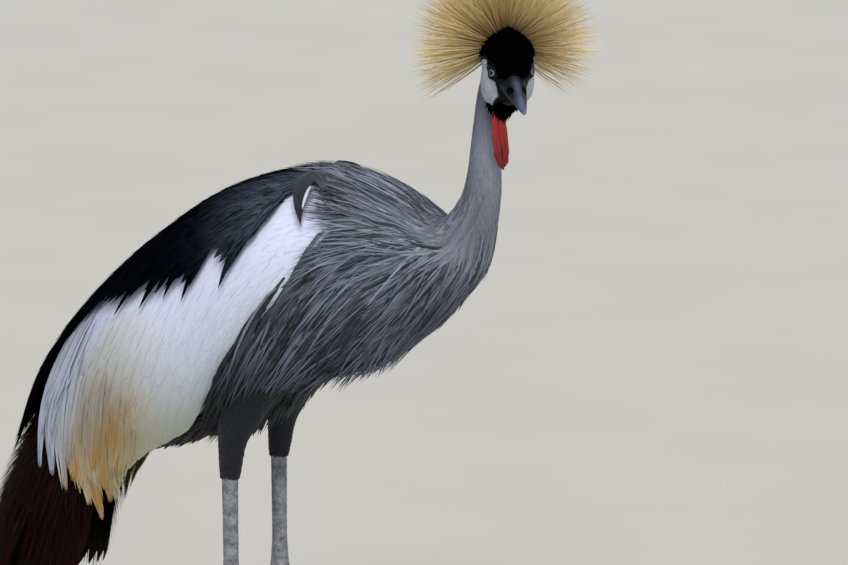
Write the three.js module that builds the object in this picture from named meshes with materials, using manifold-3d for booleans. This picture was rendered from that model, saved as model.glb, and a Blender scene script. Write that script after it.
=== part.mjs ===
// Grey crowned crane, life size, standing at rest with its head turned to its right.
// Millimetres. +X runs from the tail to the breast, +Y to the bird's left, +Z up from the ground.
import * as THREE from "three";
import { mergeVertices } from "three/addons/utils/BufferGeometryUtils.js";
import Module from "manifold-3d";

const wasm = await Module();
wasm.setup();

// Sizes of the whole bird
const GAP = 0.3;
const ROUND_BODY = 20;
const LEG_SPREAD = 50;
const RIGHT_LEG_X = -2;
const LEFT_LEG_X = 4;
// How far ahead of the body line's own zero the middle of the whole outline lies
const MIDDLE_X = 28;

// Stations of the bird's outline from the nape to the ends of the hanging wing feathers.
// The columns are x, z, the slope of the spine in degrees, half height, half width,
// and how deep the flesh lies below the plumage at the back, the belly and the flank.
const STATIONS = [
  [276, 780, 70, 12.5, 12.5, 0, 0, 0],
  [270, 752, 80, 13, 13, 0, 0, 0],
  [267.5, 727, 86, 14, 13.5, 0, 0, 0],
  [266, 697, 85, 16, 15.5, 0, 0, 0],
  [262.5, 670, 81, 18.5, 18, 0, 0, 0],
  [256.5, 644, 76, 21.5, 21, 0, 0, 0],
  [248, 618, 66, 27, 27, 1, 1, 1],
  [238, 600, 47, 38, 38, 3, 3, 3],
  [214, 593, 29, 57, 54, 6, 4, 6],
  [180, 584, 22, 81, 74, 10, 6, 10],
  [130, 574.5, 20, 102, 91, 12, 8, 16],
  [74.5, 558, 21.5, 110, 101, 14, 10, 20],
  [15, 530.5, 23, 114, 104, 15, 12, 24],
  [-45, 491, 24, 113, 102, 16, 22, 28],
  [-102, 452, 27, 105, 96, 18, 38, 34],
  [-155, 410, 33, 92, 87, 22, 56, 42],
  [-197, 364, 40, 80, 77, 30, 64, 48],
  [-222, 307, 48, 74, 68, 30, 60, 50],
  [-247, 240, 56, 76, 62, 30, 60, 50],
  [-272, 170, 62, 70, 54, 30, 60, 50],
];
const NECK_BASE = 6;
const RUMP = 16;

// Head: where it is, how it turns, and the skull's rings as x, top, bottom, widest height, half width
const HEAD_AT = [298, -18, 796];
const HEAD_TURN = -54;
const HEAD_DIP = 18;
const SKULL = [
  [-34, 14, -8, 2, 10],
  [-28, 24, -20, 2, 20],
  [-16, 32, -30, 1, 26],
  [-2, 34, -36, 0, 27.5],
  [10, 31, -40, -4, 25],
  [20, 25, -40, -8, 20.5],
  [28, 14, -35, -10, 15.5],
  [33, 4, -28, -11, 12],
];
// How much the dome of the crown narrows upwards; 1 would be a plain oval.
const DOME = 1.4;
const EYE_AT = [20, 17.6, -3.5];
const EYE_RADIUS = 5.6;

// Bill: rings as x, top of the ridge, depth of the lower half, half width, all about the gape's height
const GAPE = -14;
const BILL = [
  [26, -1, 10, 11],
  [36, -2, 9, 10.5],
  [46, -3.5, 8, 9],
  [56, -5.5, 7, 7.5],
  [68, -8, 5, 5.5],
  [79, -10.5, 3.2, 3.4],
];
const BILL_TIP = [88, -14.4];

const COLOURS = {
  slate: 0x6f737c,
  black: 0x15151a,
  white: 0xe9e9e6,
  gold: 0xb79a5a,
  red: 0xb3261f,
  chestnut: 0x3a1f1b,
  horn: 0x3d4148,
  iris: 0xb9c4cc,
  scale: 0x6a6b6c,
  claw: 0x2a2a2c,
};

function radians(degrees) {
  return THREE.MathUtils.degToRad(degrees);
}

// A closed geometry's solid. A surface that faces inwards is turned round first.
function solidOf(geometry) {
  const bare = geometry.clone();
  bare.deleteAttribute("normal");
  bare.deleteAttribute("uv");
  const merged = mergeVertices(bare, 1e-4);
  const points = merged.attributes.position.array;
  const triVerts = new Uint32Array(merged.index.array);
  if (volumeOf(points, triVerts) < 0) triVerts.reverse();
  return new wasm.Manifold(new wasm.Mesh({ numProp: 3, vertProperties: points, triVerts }));
}

function volumeOf(points, faces) {
  const corner = [0, 1, 2].map(() => new THREE.Vector3());
  let sum = 0;
  for (let i = 0; i < faces.length; i += 3) {
    corner.forEach((c, k) => c.fromArray(points, 3 * faces[i + k]));
    sum += corner[0].dot(corner[1].clone().cross(corner[2]));
  }
  return sum / 6;
}

function geometryOf(solid) {
  const mesh = solid.getMesh();
  const geometry = new THREE.BufferGeometry();
  geometry.setAttribute("position", new THREE.BufferAttribute(mesh.vertProperties, 3));
  geometry.setIndex(new THREE.BufferAttribute(mesh.triVerts, 1));
  return geometry;
}

function fuse(solids) {
  return solids.reduce((whole, piece) => whole.add(piece));
}

// The largest closed surface of a solid, so that a loose scrap of a cut is dropped.
function largest(solid) {
  return solid.decompose().reduce((most, piece) => (piece.volume() > most.volume() ? piece : most));
}

// A skin over rings with the same number of points, closed at both ends by a fan to a point.
// The two halves of each ring are split the same way, so that a thin piece keeps its thickness.
// A bent shell is closed by a strip across its own thickness instead.
function loft(rings, startPoint, endPoint, shell = false) {
  const around = rings[0].length;
  const half = around / 2;
  const points = rings.flat();
  if (!shell) {
    points.push(startPoint ?? middleOf(rings[0]), endPoint ?? middleOf(rings[rings.length - 1]));
  }
  const faces = [];
  rings.slice(1).forEach((_, row) => {
    for (let k = 0; k < around; k += 1) {
      const [a, b] = [row * around + k, row * around + ((k + 1) % around)];
      const [c, d] = [a + around, b + around];
      if (k < half) faces.push(a, b, d, a, d, c);
      else faces.push(a, b, c, b, d, c);
    }
  });
  const end = (rings.length - 1) * around;
  for (let k = 0; k < around && !shell; k += 1) {
    const next = (k + 1) % around;
    faces.push(points.length - 2, next, k);
    faces.push(points.length - 1, end + k, end + next);
  }
  for (let k = 0; k < half - 1 && shell; k += 1) {
    const [a, b, c, d] = [k, k + 1, around - 2 - k, around - 1 - k];
    faces.push(b, a, d, b, d, c);
    faces.push(end + a, end + b, end + d, end + b, end + c, end + d);
  }
  const geometry = new THREE.BufferGeometry().setFromPoints(points);
  geometry.setIndex(faces);
  return geometry;
}

function middleOf(ring) {
  const sum = ring.reduce((total, point) => total.add(point), new THREE.Vector3());
  return sum.divideScalar(ring.length);
}

// An oval of points across a direction, for limbs and toes that run along a line of points.
function ovalAlong(line, radii, around, flatten = 1) {
  return line.map((at, i) => {
    const before = line[Math.max(i - 1, 0)];
    const after = line[Math.min(i + 1, line.length - 1)];
    const ahead = after.clone().sub(before).normalize();
    const side = new THREE.Vector3(0, 1, 0).cross(ahead);
    if (side.length() < 0.2) side.set(1, 0, 0);
    side.normalize();
    const other = ahead.clone().cross(side);
    return Array.from({ length: around }, (_, k) => {
      const angle = ((k + 0.5) * 2 * Math.PI) / around;
      return at
        .clone()
        .addScaledVector(side, radii[i] * Math.cos(angle))
        .addScaledVector(other, radii[i] * flatten * Math.sin(angle));
    });
  });
}

function vectors(list) {
  return list.map((point) => new THREE.Vector3(...point));
}

// Outline values at a station number that need not be whole, smooth through every station.
function along(station) {
  const lastRow = STATIONS.length - 1;
  const s = THREE.MathUtils.clamp(station, 0, lastRow);
  const i = Math.min(Math.floor(s), lastRow - 1);
  const t = s - i;
  const [p, q, r, v] = [-1, 0, 1, 2].map((k) => STATIONS[THREE.MathUtils.clamp(i + k, 0, lastRow)]);
  return q.map((_, k) => {
    const slope = r[k] - p[k];
    const bow = 2 * p[k] - 5 * q[k] + 4 * r[k] - v[k];
    const twist = 3 * q[k] - p[k] - 3 * r[k] + v[k];
    return 0.5 * (2 * q[k] + slope * t + bow * t * t + twist * t * t * t);
  });
}

// A point on the plumage at a station, at an angle from the back round to the bird's right,
// some millimetres below the surface. A negative angle is on the left side.
function coat(station, angle, depth = 0) {
  const [x, z, slope, high, wide] = along(station);
  const turn = radians(angle);
  const lean = radians(slope);
  const up = (high - depth) * Math.cos(turn);
  const side = (wide - depth) * Math.sin(turn);
  return new THREE.Vector3(x - Math.sin(lean) * up, -side, z + Math.cos(lean) * up);
}

// How deep the flesh lies below the plumage.
function fleshDepth(station, angle) {
  const [, , , , , back, belly, flank] = along(station);
  const cosine = Math.cos(radians(angle));
  const share = cosine * cosine;
  return share * (cosine > 0 ? back : belly) + (1 - share) * flank;
}

function bodyLength(stations, grow) {
  const rings = stations.map((station) => {
    return Array.from({ length: ROUND_BODY }, (_, k) => {
      const angle = (k * 360) / ROUND_BODY;
      return coat(station, angle, fleshDepth(station, angle) - grow);
    });
  });
  return solidOf(loft(rings));
}

// Neck and torso are one form parted by thin gaps across the spine.
const STATION_GAP = 0.012;
const NECK_RINGS = [0, 1, 2, 3, 4, 4.5, 5, 5.5, NECK_BASE - STATION_GAP];
const TORSO_RINGS = [NECK_BASE, 6.5, 7, 7.5, 8, 9, 10, 11.2, 12.4, 13.6, 14.8, RUMP];
const neckWhole = bodyLength(NECK_RINGS, 0);
const torsoCore = bodyLength(TORSO_RINGS, 0);
const torsoGrown = bodyLength(TORSO_RINGS, GAP + 0.1);

// Small differences from feather to feather, the same each time.
let seed = 1907;
function chance(low, high) {
  seed = (seed * 16807) % 2147483647;
  return low + ((high - low) * seed) / 2147483647;
}

// The way the plumage faces at a station and angle.
function coatNormal(station, angle) {
  const step = 0.05;
  const backward = coat(station + step, angle).sub(coat(station - step, angle));
  const round = coat(station, angle + 1).sub(coat(station, angle - 1));
  const facing = backward.cross(round).normalize();
  const [x, z] = along(station);
  const outward = coat(station, angle).sub(new THREE.Vector3(x, 0, z));
  return facing.dot(outward) < 0 ? facing.negate() : facing;
}

// Outlines of a vane as shares of its length and of its half width, up to the ring before the tip
const COVERT = [
  [0, 0.2],
  [0.3, 0.85],
  [0.85, 0.85],
];
const QUILL = [
  [0, 0.35],
  [0.3, 0.9],
  [0.75, 1],
  [0.94, 0.6],
];
const PLUME = [
  [0, 0.2],
  [0.35, 0.95],
  [0.82, 0.5],
];

// A feather as a thin flat vane that follows the plumage from its root to its tip.
// from and to are station and angle, depth is at the root, where it lies free, and at its tip,
// lean rolls it about its shaft so that neighbours overlap like tiles.
function vane({ shape, from, to, depth, half, thick = 1, lean = 0, bow = 0, grow = 0 }) {
  const [sunk, laid, end] = depth;
  const placeAt = (share) => {
    const station = THREE.MathUtils.lerp(from[0], to[0], share);
    const angle = THREE.MathUtils.lerp(from[1], to[1], share) + bow * Math.sin(Math.PI * share);
    const rise = Math.min(1, share / 0.2);
    const free = THREE.MathUtils.lerp(laid, end, share * share);
    return { station, angle, at: coat(station, angle, THREE.MathUtils.lerp(sunk, free, rise)) };
  };
  const rings = shape.map(([share, width]) => {
    const { station, angle, at } = placeAt(share);
    const ahead = placeAt(share + 0.02).at.sub(placeAt(share - 0.02).at).normalize();
    const side = ahead.clone().cross(coatNormal(station, angle)).normalize();
    const face = side.clone().cross(ahead);
    const roll = radians(lean);
    const across = side.clone().multiplyScalar(Math.cos(roll)).addScaledVector(face, Math.sin(roll));
    const up = face.multiplyScalar(Math.cos(roll)).addScaledVector(side, -Math.sin(roll));
    const w = half * width + grow;
    const h = thick / 2 + grow;
    return [
      at.clone().addScaledVector(across, -w).addScaledVector(up, h),
      at.clone().addScaledVector(across, w).addScaledVector(up, h),
      at.clone().addScaledVector(across, w).addScaledVector(up, -h),
      at.clone().addScaledVector(across, -w).addScaledVector(up, -h),
    ];
  });
  const tip = placeAt(1).at;
  const onward = tip.clone().sub(middleOf(rings[rings.length - 1])).normalize();
  return solidOf(loft(rings, placeAt(0).at, tip.addScaledVector(onward, 12 * grow)));
}

// A row of vanes whose roots and tips are spread evenly between the given ends.
// Each end list holds station and angle at the row's first and last feather, or at points between.
function row({ count, side, shape, roots, tips, depth, half, thick, lean = 0, bow = 0, ragged = 0 }) {
  return Array.from({ length: count }, (_, i) => {
    const share = count > 1 ? i / (count - 1) : 0;
    const [rootStation, rootAngle] = between(roots, share);
    const [tipStation, tipAngle] = between(tips, share);
    return {
      shape,
      from: [rootStation, side * rootAngle],
      to: [tipStation + chance(-ragged, ragged), side * tipAngle],
      depth,
      half: half * chance(0.94, 1.06),
      thick,
      lean: side * lean,
      bow: side * bow,
    };
  });
}

// A value list read at a share of its length, straight between its entries.
function between(list, share) {
  const place = share * (list.length - 1);
  const i = Math.min(Math.floor(place), list.length - 2);
  return list[i].map((value, k) => THREE.MathUtils.lerp(value, list[i + 1][k], place - i));
}

// Mantle and breast: long narrow plumes that fan from the foot of the neck over the shoulders.
function plumesOf(side) {
  return [
    ...row({
      count: 4, side, shape: PLUME, half: 12, thick: 1, lean: 10, ragged: 0.12,
      roots: [[6.4, 10], [6.45, 90], [6.4, 168]],
      tips: [[8.5, 12], [8.5, 88], [8.3, 168]],
      depth: [8, 3, -1],
    }),
    ...row({
      count: 6, side, shape: PLUME, half: 15, thick: 1, lean: 12, ragged: 0.15,
      roots: [[7.5, 8], [7.5, 60], [7.5, 120], [7.4, 172]],
      tips: [[9.9, 12], [10.1, 56], [10.3, 118], [9.7, 170]],
      depth: [14, 6, 0],
    }),
    ...row({
      count: 6, side, shape: PLUME, half: 17, thick: 1, lean: 12, ragged: 0.18,
      roots: [[8.6, 10], [8.6, 60], [8.6, 120], [8.5, 172]],
      tips: [[10.8, 12], [10.7, 60], [11.7, 116], [10.8, 172]],
      depth: [18, 8, 0],
    }),
    ...row({
      count: 3, side, shape: PLUME, half: 17, thick: 1, lean: 12, ragged: 0.2,
      roots: [[9.3, 98], [9.5, 135], [9.5, 168]],
      tips: [[11.5, 108], [13.1, 138], [12.4, 168]],
      depth: [22, 8, 0],
    }),
    ...row({
      count: 2, side, shape: PLUME, half: 15, thick: 1, lean: 12, ragged: 0.15,
      roots: [[11.1, 150], [11.2, 172]],
      tips: [[13.9, 156], [13.6, 172]],
      depth: [20, 8, 1],
    }),
  ];
}

const plumesRight = plumesOf(1);
const plumes = [...plumesRight, ...mirrored(plumesRight)];
const torso = largest(fuse([torsoCore, ...plumes.map(vane)]));
const plumeRoom = fuse(plumes.map((plume) => vane({ ...plume, grow: GAP + 0.1 })));

// Folded wings. The arm and the coverts are one node, the flight feathers behind it another.
const WING = { front: 9.95, part: 14.4, back: 15.6, ridge: 8, skin: 13, thin: 4, thick: 20 };

// The angle of the wing's lower edge at a station.
function wingLow(station) {
  const share = THREE.MathUtils.clamp((station - 9.9) / 6, 0, 1);
  return between([[96], [106], [122], [138], [150], [156], [156]], share)[0];
}

function wingCore(side, from, to, sink) {
  const steps = Math.round((to - from) * 1.4) + 1;
  const across = 6;
  const rings = Array.from({ length: steps }, (_, i) => {
    const station = from + ((to - from) * i) / (steps - 1);
    const span = Array.from({ length: across + 1 }, (__, k) => k / across);
    const angleAt = (share) => side * THREE.MathUtils.lerp(WING.ridge, wingLow(station), share);
    const outerDepth = (angle) => Math.min(WING.skin, fleshDepth(station, angle) - WING.thin) + sink;
    const outer = span.map((share) => coat(station, angleAt(share), outerDepth(angleAt(share))));
    const inner = span.map((share) => {
      const angle = angleAt(share);
      const flesh = fleshDepth(station, angle) + 3;
      const full = THREE.MathUtils.clamp(flesh - outerDepth(angle), WING.thin, WING.thick);
      const edge = Math.min(1, 5 * Math.min(share, 1 - share) + 0.35);
      return coat(station, angle, outerDepth(angle) + full * edge);
    });
    return [...outer, ...inner.reverse()];
  });
  return solidOf(loft(rings, null, null, true));
}

function covertsOf(side) {
  return [
    // long white coverts, their tips free over the flight feathers
    ...row({
      count: 4, side, shape: COVERT, half: 15, thick: 1, lean: -12, ragged: 0.12,
      roots: [[13.2, 54], [13.1, 92]],
      tips: [[16.2, 66], [16.6, 100]],
      depth: [19, 12, 7],
    }),
    // below them the straw coloured plumes
    ...row({
      count: 4, side, shape: PLUME, half: 15, thick: 1, lean: -12, ragged: 0.12,
      roots: [[13.2, 102], [13.1, 144]],
      tips: [[16.7, 112], [16.7, 160]],
      depth: [19, 12, 4],
    }),
    // middle white coverts
    ...row({
      count: 5, side, shape: COVERT, half: 15.5, thick: 1, lean: -12, ragged: 0.1,
      roots: [[11.8, 66], [11.8, 124]],
      tips: [[14.2, 72], [14.3, 136]],
      depth: [19, 11.5, 6],
    }),
    // small white coverts behind the wrist
    ...row({
      count: 4, side, shape: COVERT, half: 15, thick: 1, lean: -12, ragged: 0.08,
      roots: [[10.6, 46], [10.6, 104]],
      tips: [[12.7, 62], [12.8, 114]],
      depth: [18, 11, 5.5],
    }),
    // black shoulder feathers: the low row with its toothed edge, then two rows up to the ridge
    ...row({
      count: 7, side, shape: COVERT, half: 15, thick: 1, lean: 9, ragged: 0.08,
      roots: [[10.3, 20], [10.9, 30], [12.1, 26], [13.6, 24]],
      tips: [[11.2, 54], [12.2, 76], [13.9, 56], [15.8, 52]],
      depth: [17, 5.5, 0],
    }),
    ...row({
      count: 5, side, shape: COVERT, half: 15, thick: 1, lean: 9, ragged: 0.08,
      roots: [[10.3, 15], [13.3, 15]],
      tips: [[11.7, 40], [15.6, 34]],
      depth: [16, 2, -1],
    }),
    ...row({
      count: 3, side, shape: COVERT, half: 9, thick: 1, lean: -3, ragged: 0.05,
      roots: [[10.3, 11], [13.9, 11]],
      tips: [[12.2, 13], [16.8, 11]],
      depth: [14, -0.5, -3],
    }),
  ];
}

function flightOf(side) {
  return [
    // primaries, under the rest
    ...row({
      count: 3, side, shape: QUILL, half: 11, thick: 1.2, lean: -10, ragged: 0.1,
      roots: [[14.75, 66], [14.75, 126]],
      tips: [[18.2, 80], [17.7, 126]],
      depth: [28, 25, 18],
    }),
    // secondaries and the long inner feathers that hang over the tail
    ...row({
      count: 10, side, shape: QUILL, half: 13.5, thick: 1.2, lean: -12, ragged: 0.12,
      roots: [[14.7, 18], [14.8, 80], [14.8, 146]],
      tips: [[18.9, 14], [19, 76], [18.2, 138]],
      depth: [24, 16, 3],
    }),
  ];
}

// The same feathers on the other side of the spine.
function mirrored(feathers) {
  return feathers.map((feather) => ({
    ...feather,
    from: [feather.from[0], -feather.from[1]],
    to: [feather.to[0], -feather.to[1]],
    lean: -feather.lean,
    bow: -feather.bow,
  }));
}

const covertsRight = covertsOf(1);
const flightRight = flightOf(1);
const coverts = [covertsRight, mirrored(covertsRight)];
const flightFeathers = [flightRight, mirrored(flightRight)];

const WRIST = { station: 10.2, angle: 36, depth: 11, size: [12, 10, 19] };

function wristBump(side) {
  const bump = new THREE.SphereGeometry(1, 8, 5);
  bump.scale(...WRIST.size);
  const at = coat(WRIST.station, side * WRIST.angle, WRIST.depth);
  bump.translate(at.x, at.y, at.z);
  return solidOf(bump);
}

// No part of a wing reaches over the spine to the other one.
function halfSpace(side) {
  const block = new THREE.BoxGeometry(1200, 300, 1200);
  block.translate(0, side * (150 - GAP / 2), 400);
  return solidOf(block);
}

// Head, in its own frame: +X along the bill, +Y to its left, +Z to the crown.
function skullSolid(grow) {
  const around = 16;
  const rings = SKULL.map(([x, top, bottom, middle, half]) =>
    Array.from({ length: around }, (_, k) => {
      const angle = (k * 2 * Math.PI) / around;
      const above = Math.cos(angle) > 0;
      const reach = (above ? top - middle : middle - bottom) + grow;
      const wide = Math.abs(Math.sin(angle)) ** (above ? DOME : 1);
      return new THREE.Vector3(
        x,
        (half + grow) * wide * Math.sign(Math.sin(angle)),
        middle + reach * Math.cos(angle),
      );
    }),
  );
  const [backX, backTop] = SKULL[0];
  const front = SKULL[SKULL.length - 1];
  const back = new THREE.Vector3(backX - 3 - grow, 0, backTop - 11);
  const nose = new THREE.Vector3(front[0] + 1 + grow, 0, front[3]);
  return solidOf(loft(rings, back, nose));
}

// One half of the bill: an arch over the gape for the upper, under it for the lower.
function billSolid(upper, grow) {
  const arch = 8;
  const sign = upper ? 1 : -1;
  const floor = GAPE + sign * (0.2 - grow);
  const rings = BILL.map(([x, top, deep, half]) => {
    const reach = (upper ? top - GAPE : deep) + 2 * grow;
    return Array.from({ length: arch + 1 }, (_, k) => {
      const angle = radians(-90 + (180 * k) / arch);
      return new THREE.Vector3(
        x,
        (half + grow) * Math.sin(angle),
        floor + sign * (reach * Math.cos(angle)),
      );
    });
  });
  const tip = new THREE.Vector3(BILL_TIP[0] - (upper ? 0 : 4), 0, floor + sign * 0.3);
  const root = new THREE.Vector3(BILL[0][0] - grow, 0, GAPE + sign * 4);
  return solidOf(loft(rings, root, tip));
}

// The bare cheek patch swells a little over the jaw.
const CHEEK = { at: [4, 19.5, -19], size: [15.5, 8, 22] };
const LID = { ring: 5, tube: 1.6, height: 0.86, out: 3.6 };
const MOUTH = { from: 19, to: 45, open: 0.8 };

function cheekPatch(side) {
  const patch = new THREE.SphereGeometry(1, 9, 6);
  patch.scale(...CHEEK.size);
  patch.translate(CHEEK.at[0], side * CHEEK.at[1], CHEEK.at[2]);
  return solidOf(patch);
}

function lidRing(side) {
  const lids = new THREE.TorusGeometry(LID.ring, LID.tube, 5, 10);
  lids.rotateX(Math.PI / 2);
  lids.scale(1, 1, LID.height);
  lids.translate(EYE_AT[0], side * (EYE_AT[1] + LID.out), EYE_AT[2]);
  return solidOf(lids);
}

// A soft lock of feathers that hangs along a line of points, flat and tapered.
function lock(line, halves, thick) {
  const points = vectors(line);
  const tip = points.pop();
  const rings = points.map((at, i) => {
    const ahead = (points[i + 1] ?? tip).clone().sub(points[Math.max(i - 1, 0)]).normalize();
    const side = new THREE.Vector3(0, 1, 0).addScaledVector(ahead, -ahead.y).normalize();
    const face = ahead.clone().cross(side);
    return [
      [-1, 1],
      [1, 1],
      [1, -1],
      [-1, -1],
    ].map(([across, up]) => {
      const corner = at.clone().addScaledVector(side, across * halves[i]);
      return corner.addScaledVector(face, (up * thick) / 2);
    });
  });
  return solidOf(loft(rings, null, tip));
}

// Chin feathers: black locks that hang from the throat beside the wattle.
function chinLocks() {
  const locks = [
    [24, -7, -57],
    [28, 0, -60],
    [24, 7, -57],
    [17, -8, -58],
    [17, 8, -55],
    [20, 0, -63],
  ];
  return locks.map(([x, y, end]) =>
    lock(
      [
        [x - 1, y * 0.8, -26],
        [x, y, -38],
        [x - 1, y, (end - 38) / 2],
        [x - 4, y * 0.9, end],
      ],
      [3, 4, 3],
      1.4,
    ),
  );
}

function mouthSlit() {
  const slit = new THREE.BoxGeometry(MOUTH.to - MOUTH.from, 80, MOUTH.open);
  slit.translate((MOUTH.to + MOUTH.from) / 2, 0, GAPE);
  return solidOf(slit);
}

// Large oval nostrils, sunk in both sides of the upper bill.
const NOSTRIL = { at: [53, 8.2, -8.2], size: [5, 3.4, 2.3] };

function nostrils() {
  return [-1, 1].map((side) => {
    const pit = new THREE.SphereGeometry(1, 8, 6);
    pit.scale(...NOSTRIL.size);
    pit.translate(NOSTRIL.at[0], side * NOSTRIL.at[1], NOSTRIL.at[2]);
    return solidOf(pit);
  });
}

const billUpper = largest(billSolid(true, 0).subtract(fuse(nostrils())));
const billLower = billSolid(false, 0);
const billRoom = fuse([billSolid(true, GAP), billSolid(false, GAP)]);
const eyeBalls = [-1, 1].map((side) => ballAt(EYE_AT[0], side * EYE_AT[1], EYE_AT[2], EYE_RADIUS));
const eyeRoom = [-1, 1].map((side) =>
  ballAt(EYE_AT[0], side * EYE_AT[1], EYE_AT[2], EYE_RADIUS + GAP + 0.1),
);
const headWhole = fuse([
  skullSolid(0),
  cheekPatch(-1),
  cheekPatch(1),
  lidRing(-1),
  lidRing(1),
  ...chinLocks(),
]);
const headHollows = fuse([billRoom, mouthSlit(), ...eyeRoom]);

function ballAt(x, y, z, radius) {
  const ball = new THREE.SphereGeometry(radius, 12, 7);
  ball.translate(x, y, z);
  return solidOf(ball);
}

const headFrame = new THREE.Group();
headFrame.position.set(...HEAD_AT);
headFrame.rotation.set(0, radians(HEAD_DIP), radians(HEAD_TURN), "ZYX");
headFrame.updateMatrixWorld(true);

function intoBird(solid) {
  return solid.transform(headFrame.matrixWorld.elements);
}

function outOfBird(solid) {
  return solid.transform(headFrame.matrixWorld.clone().invert().elements);
}

// Crest: stiff golden bristles that spread like a brush from a pad round the hind crown.
const CREST = {
  pad: { at: [-20, 0, 12], size: [21, 32, 29], height: 3.5 },
  // where the bristles' lines meet inside the head, and how far from there they begin
  middle: [-18, 0, 5],
  foot: 11,
  reach: [92, 102],
  radius: 0.7,
  bristles: 84,
  // the brush leans back; it leaves the brow and the nape free
  lean: [-0.55, 0, 0.83],
  open: 140,
  forward: 0.34,
  down: -0.72,
  nape: 0.9,
};

function crestPad() {
  const pad = new THREE.SphereGeometry(1, 12, 8);
  pad.scale(...CREST.pad.size);
  pad.translate(...CREST.pad.at);
  return skullSolid(CREST.pad.height).intersect(solidOf(pad));
}

// One bristle: three sided, thickest at its foot, bowed a little, out to a fine tip.
function bristle(foot, ahead, length) {
  const bend = new THREE.Vector3(chance(-1, 1), chance(-1, 1), chance(-0.4, 1)).multiplyScalar(3);
  const side = new THREE.Vector3(0.3, 0.2, 1).cross(ahead).normalize();
  const other = ahead.clone().cross(side);
  const rings = [
    [0, CREST.radius],
    [length * 0.55, CREST.radius * 0.8],
  ].map(([distance, radius]) => {
    const at = foot.clone().addScaledVector(ahead, distance);
    if (distance > 0) at.add(bend);
    return [0, 1, 2].map((k) => {
      const angle = (k * 2 * Math.PI) / 3;
      const point = at.clone().addScaledVector(side, radius * Math.cos(angle));
      return point.addScaledVector(other, radius * Math.sin(angle));
    });
  });
  return solidOf(loft(rings, null, foot.clone().addScaledVector(ahead, length)));
}

// Directions spread evenly over the opening of the brush by turning a golden angle each time.
function crestBristles() {
  const axis = new THREE.Vector3(...CREST.lean).normalize();
  const level = new THREE.Vector3(0, 1, 0);
  const third = axis.clone().cross(level);
  const golden = Math.PI * (3 - Math.sqrt(5));
  const fall = Math.cos(radians(CREST.open));
  const steps = Math.round(CREST.bristles * 1.5);
  const ways = Array.from({ length: steps }, (_, i) => {
    const high = 1 - ((i + 0.5) / steps) * (1 - fall);
    const wide = Math.sqrt(1 - high * high);
    return axis
      .clone()
      .multiplyScalar(high)
      .addScaledVector(level, wide * Math.cos(i * golden))
      .addScaledVector(third, wide * Math.sin(i * golden))
      .add(new THREE.Vector3(chance(-0.04, 0.04), chance(-0.04, 0.04), chance(-0.04, 0.04)))
      .normalize();
  });
  const lowest = (way) => CREST.down + CREST.nape * Math.max(0, -way.x);
  const free = ways.filter((way) => way.x < CREST.forward && way.z > lowest(way));
  return free.map((way) => {
    const foot = new THREE.Vector3(...CREST.middle).addScaledVector(way, CREST.foot);
    return bristle(foot, way, chance(...CREST.reach) - CREST.foot);
  });
}

const crestRoom = skullSolid(GAP);
const head = largest(headWhole.subtract(headHollows));

// Wattle: a soft flap that hangs from the throat beside the neck.
function wattleSolid() {
  const halves = [4, 5, 6, 7, 7.4, 5];
  const lobes = [-1, 1].map((side) => {
    const line = [768, 752, 738, 720, 702, 689].map((z, i) => {
      const out = side * 0.45 * halves[i];
      return new THREE.Vector3(289 + out * 0.79, -19 + out * 0.62, z);
    });
    const radii = halves.map((half) => half * 0.62);
    const end = line[line.length - 1].clone().add(new THREE.Vector3(0, 0, side > 0 ? -5 : -3));
    return solidOf(loft(ovalAlong(line, radii, 8, 0.9), null, end));
  });
  return fuse(lobes);
}

const headBulk = intoBird(skullSolid(GAP + 0.1).add(fuse(chinLocks())));
const neck = largest(neckWhole.subtract(headBulk));
const neckGrown = bodyLength(NECK_RINGS, GAP + 0.1);
const crestWhole = fuse([crestPad(), ...crestBristles()]).subtract(crestRoom);
const crest = largest(outOfBird(intoBird(crestWhole).subtract(neckGrown)));
const wattle = largest(wattleSolid().subtract(headBulk).subtract(neckGrown));

// Legs stand upright: the feathered thigh, the bare shank, the long foot bone, toes and claws.
const LEG = {
  hip: 470,
  featherEdge: 341,
  ankle: 209,
  sole: 0,
  toeRoot: 14,
};
const TOES = [
  { turn: -24, reach: 70, rise: 0 },
  { turn: 4, reach: 92, rise: 0 },
  { turn: 32, reach: 72, rise: 0 },
  { turn: 184, reach: 40, rise: 0 },
];

// A limb of level rings, each x, y, z with its radius fore and aft, and across by a share of it.
function limb(list, radii, around, across = 1) {
  const rings = vectors(list).map((at, i) =>
    Array.from({ length: around }, (_, k) => {
      const angle = ((k + 0.5) * 2 * Math.PI) / around;
      const reach = new THREE.Vector3(Math.cos(angle), across * Math.sin(angle), 0);
      return at.clone().addScaledVector(reach, radii[i]);
    }),
  );
  return solidOf(loft(rings));
}

function thighSolid(side, grow) {
  const y = side * -LEG_SPREAD;
  const x = side > 0 ? RIGHT_LEG_X : LEFT_LEG_X;
  const points = [
    [x + 24, y * 0.72, 480],
    [x + 20, y * 0.8, 440],
    [x + 12, y * 0.92, 405],
    [x + 4, y, 378],
    [x + 1, y, 350],
    [x, y, LEG.featherEdge],
  ];
  const radii = [46, 38, 25, 16, 12.5, 10.5].map((radius) => radius + grow);
  return limb(points, radii, 14, 0.8);
}

const bodyRoom = torsoGrown.add(plumeRoom);
const thighs = [1, -1].map((side) => largest(thighSolid(side, 0).subtract(bodyRoom)));
const thighRoom = fuse([1, -1].map((side) => thighSolid(side, GAP + 0.1)));

function wingSolid(side) {
  const core = wingCore(side, WING.front, WING.part, 0);
  const own = coverts[side > 0 ? 0 : 1];
  const whole = fuse([core, wristBump(side), ...own.map(vane)]);
  return largest(whole.subtract(bodyRoom).subtract(thighRoom).subtract(halfSpace(side)));
}

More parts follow.
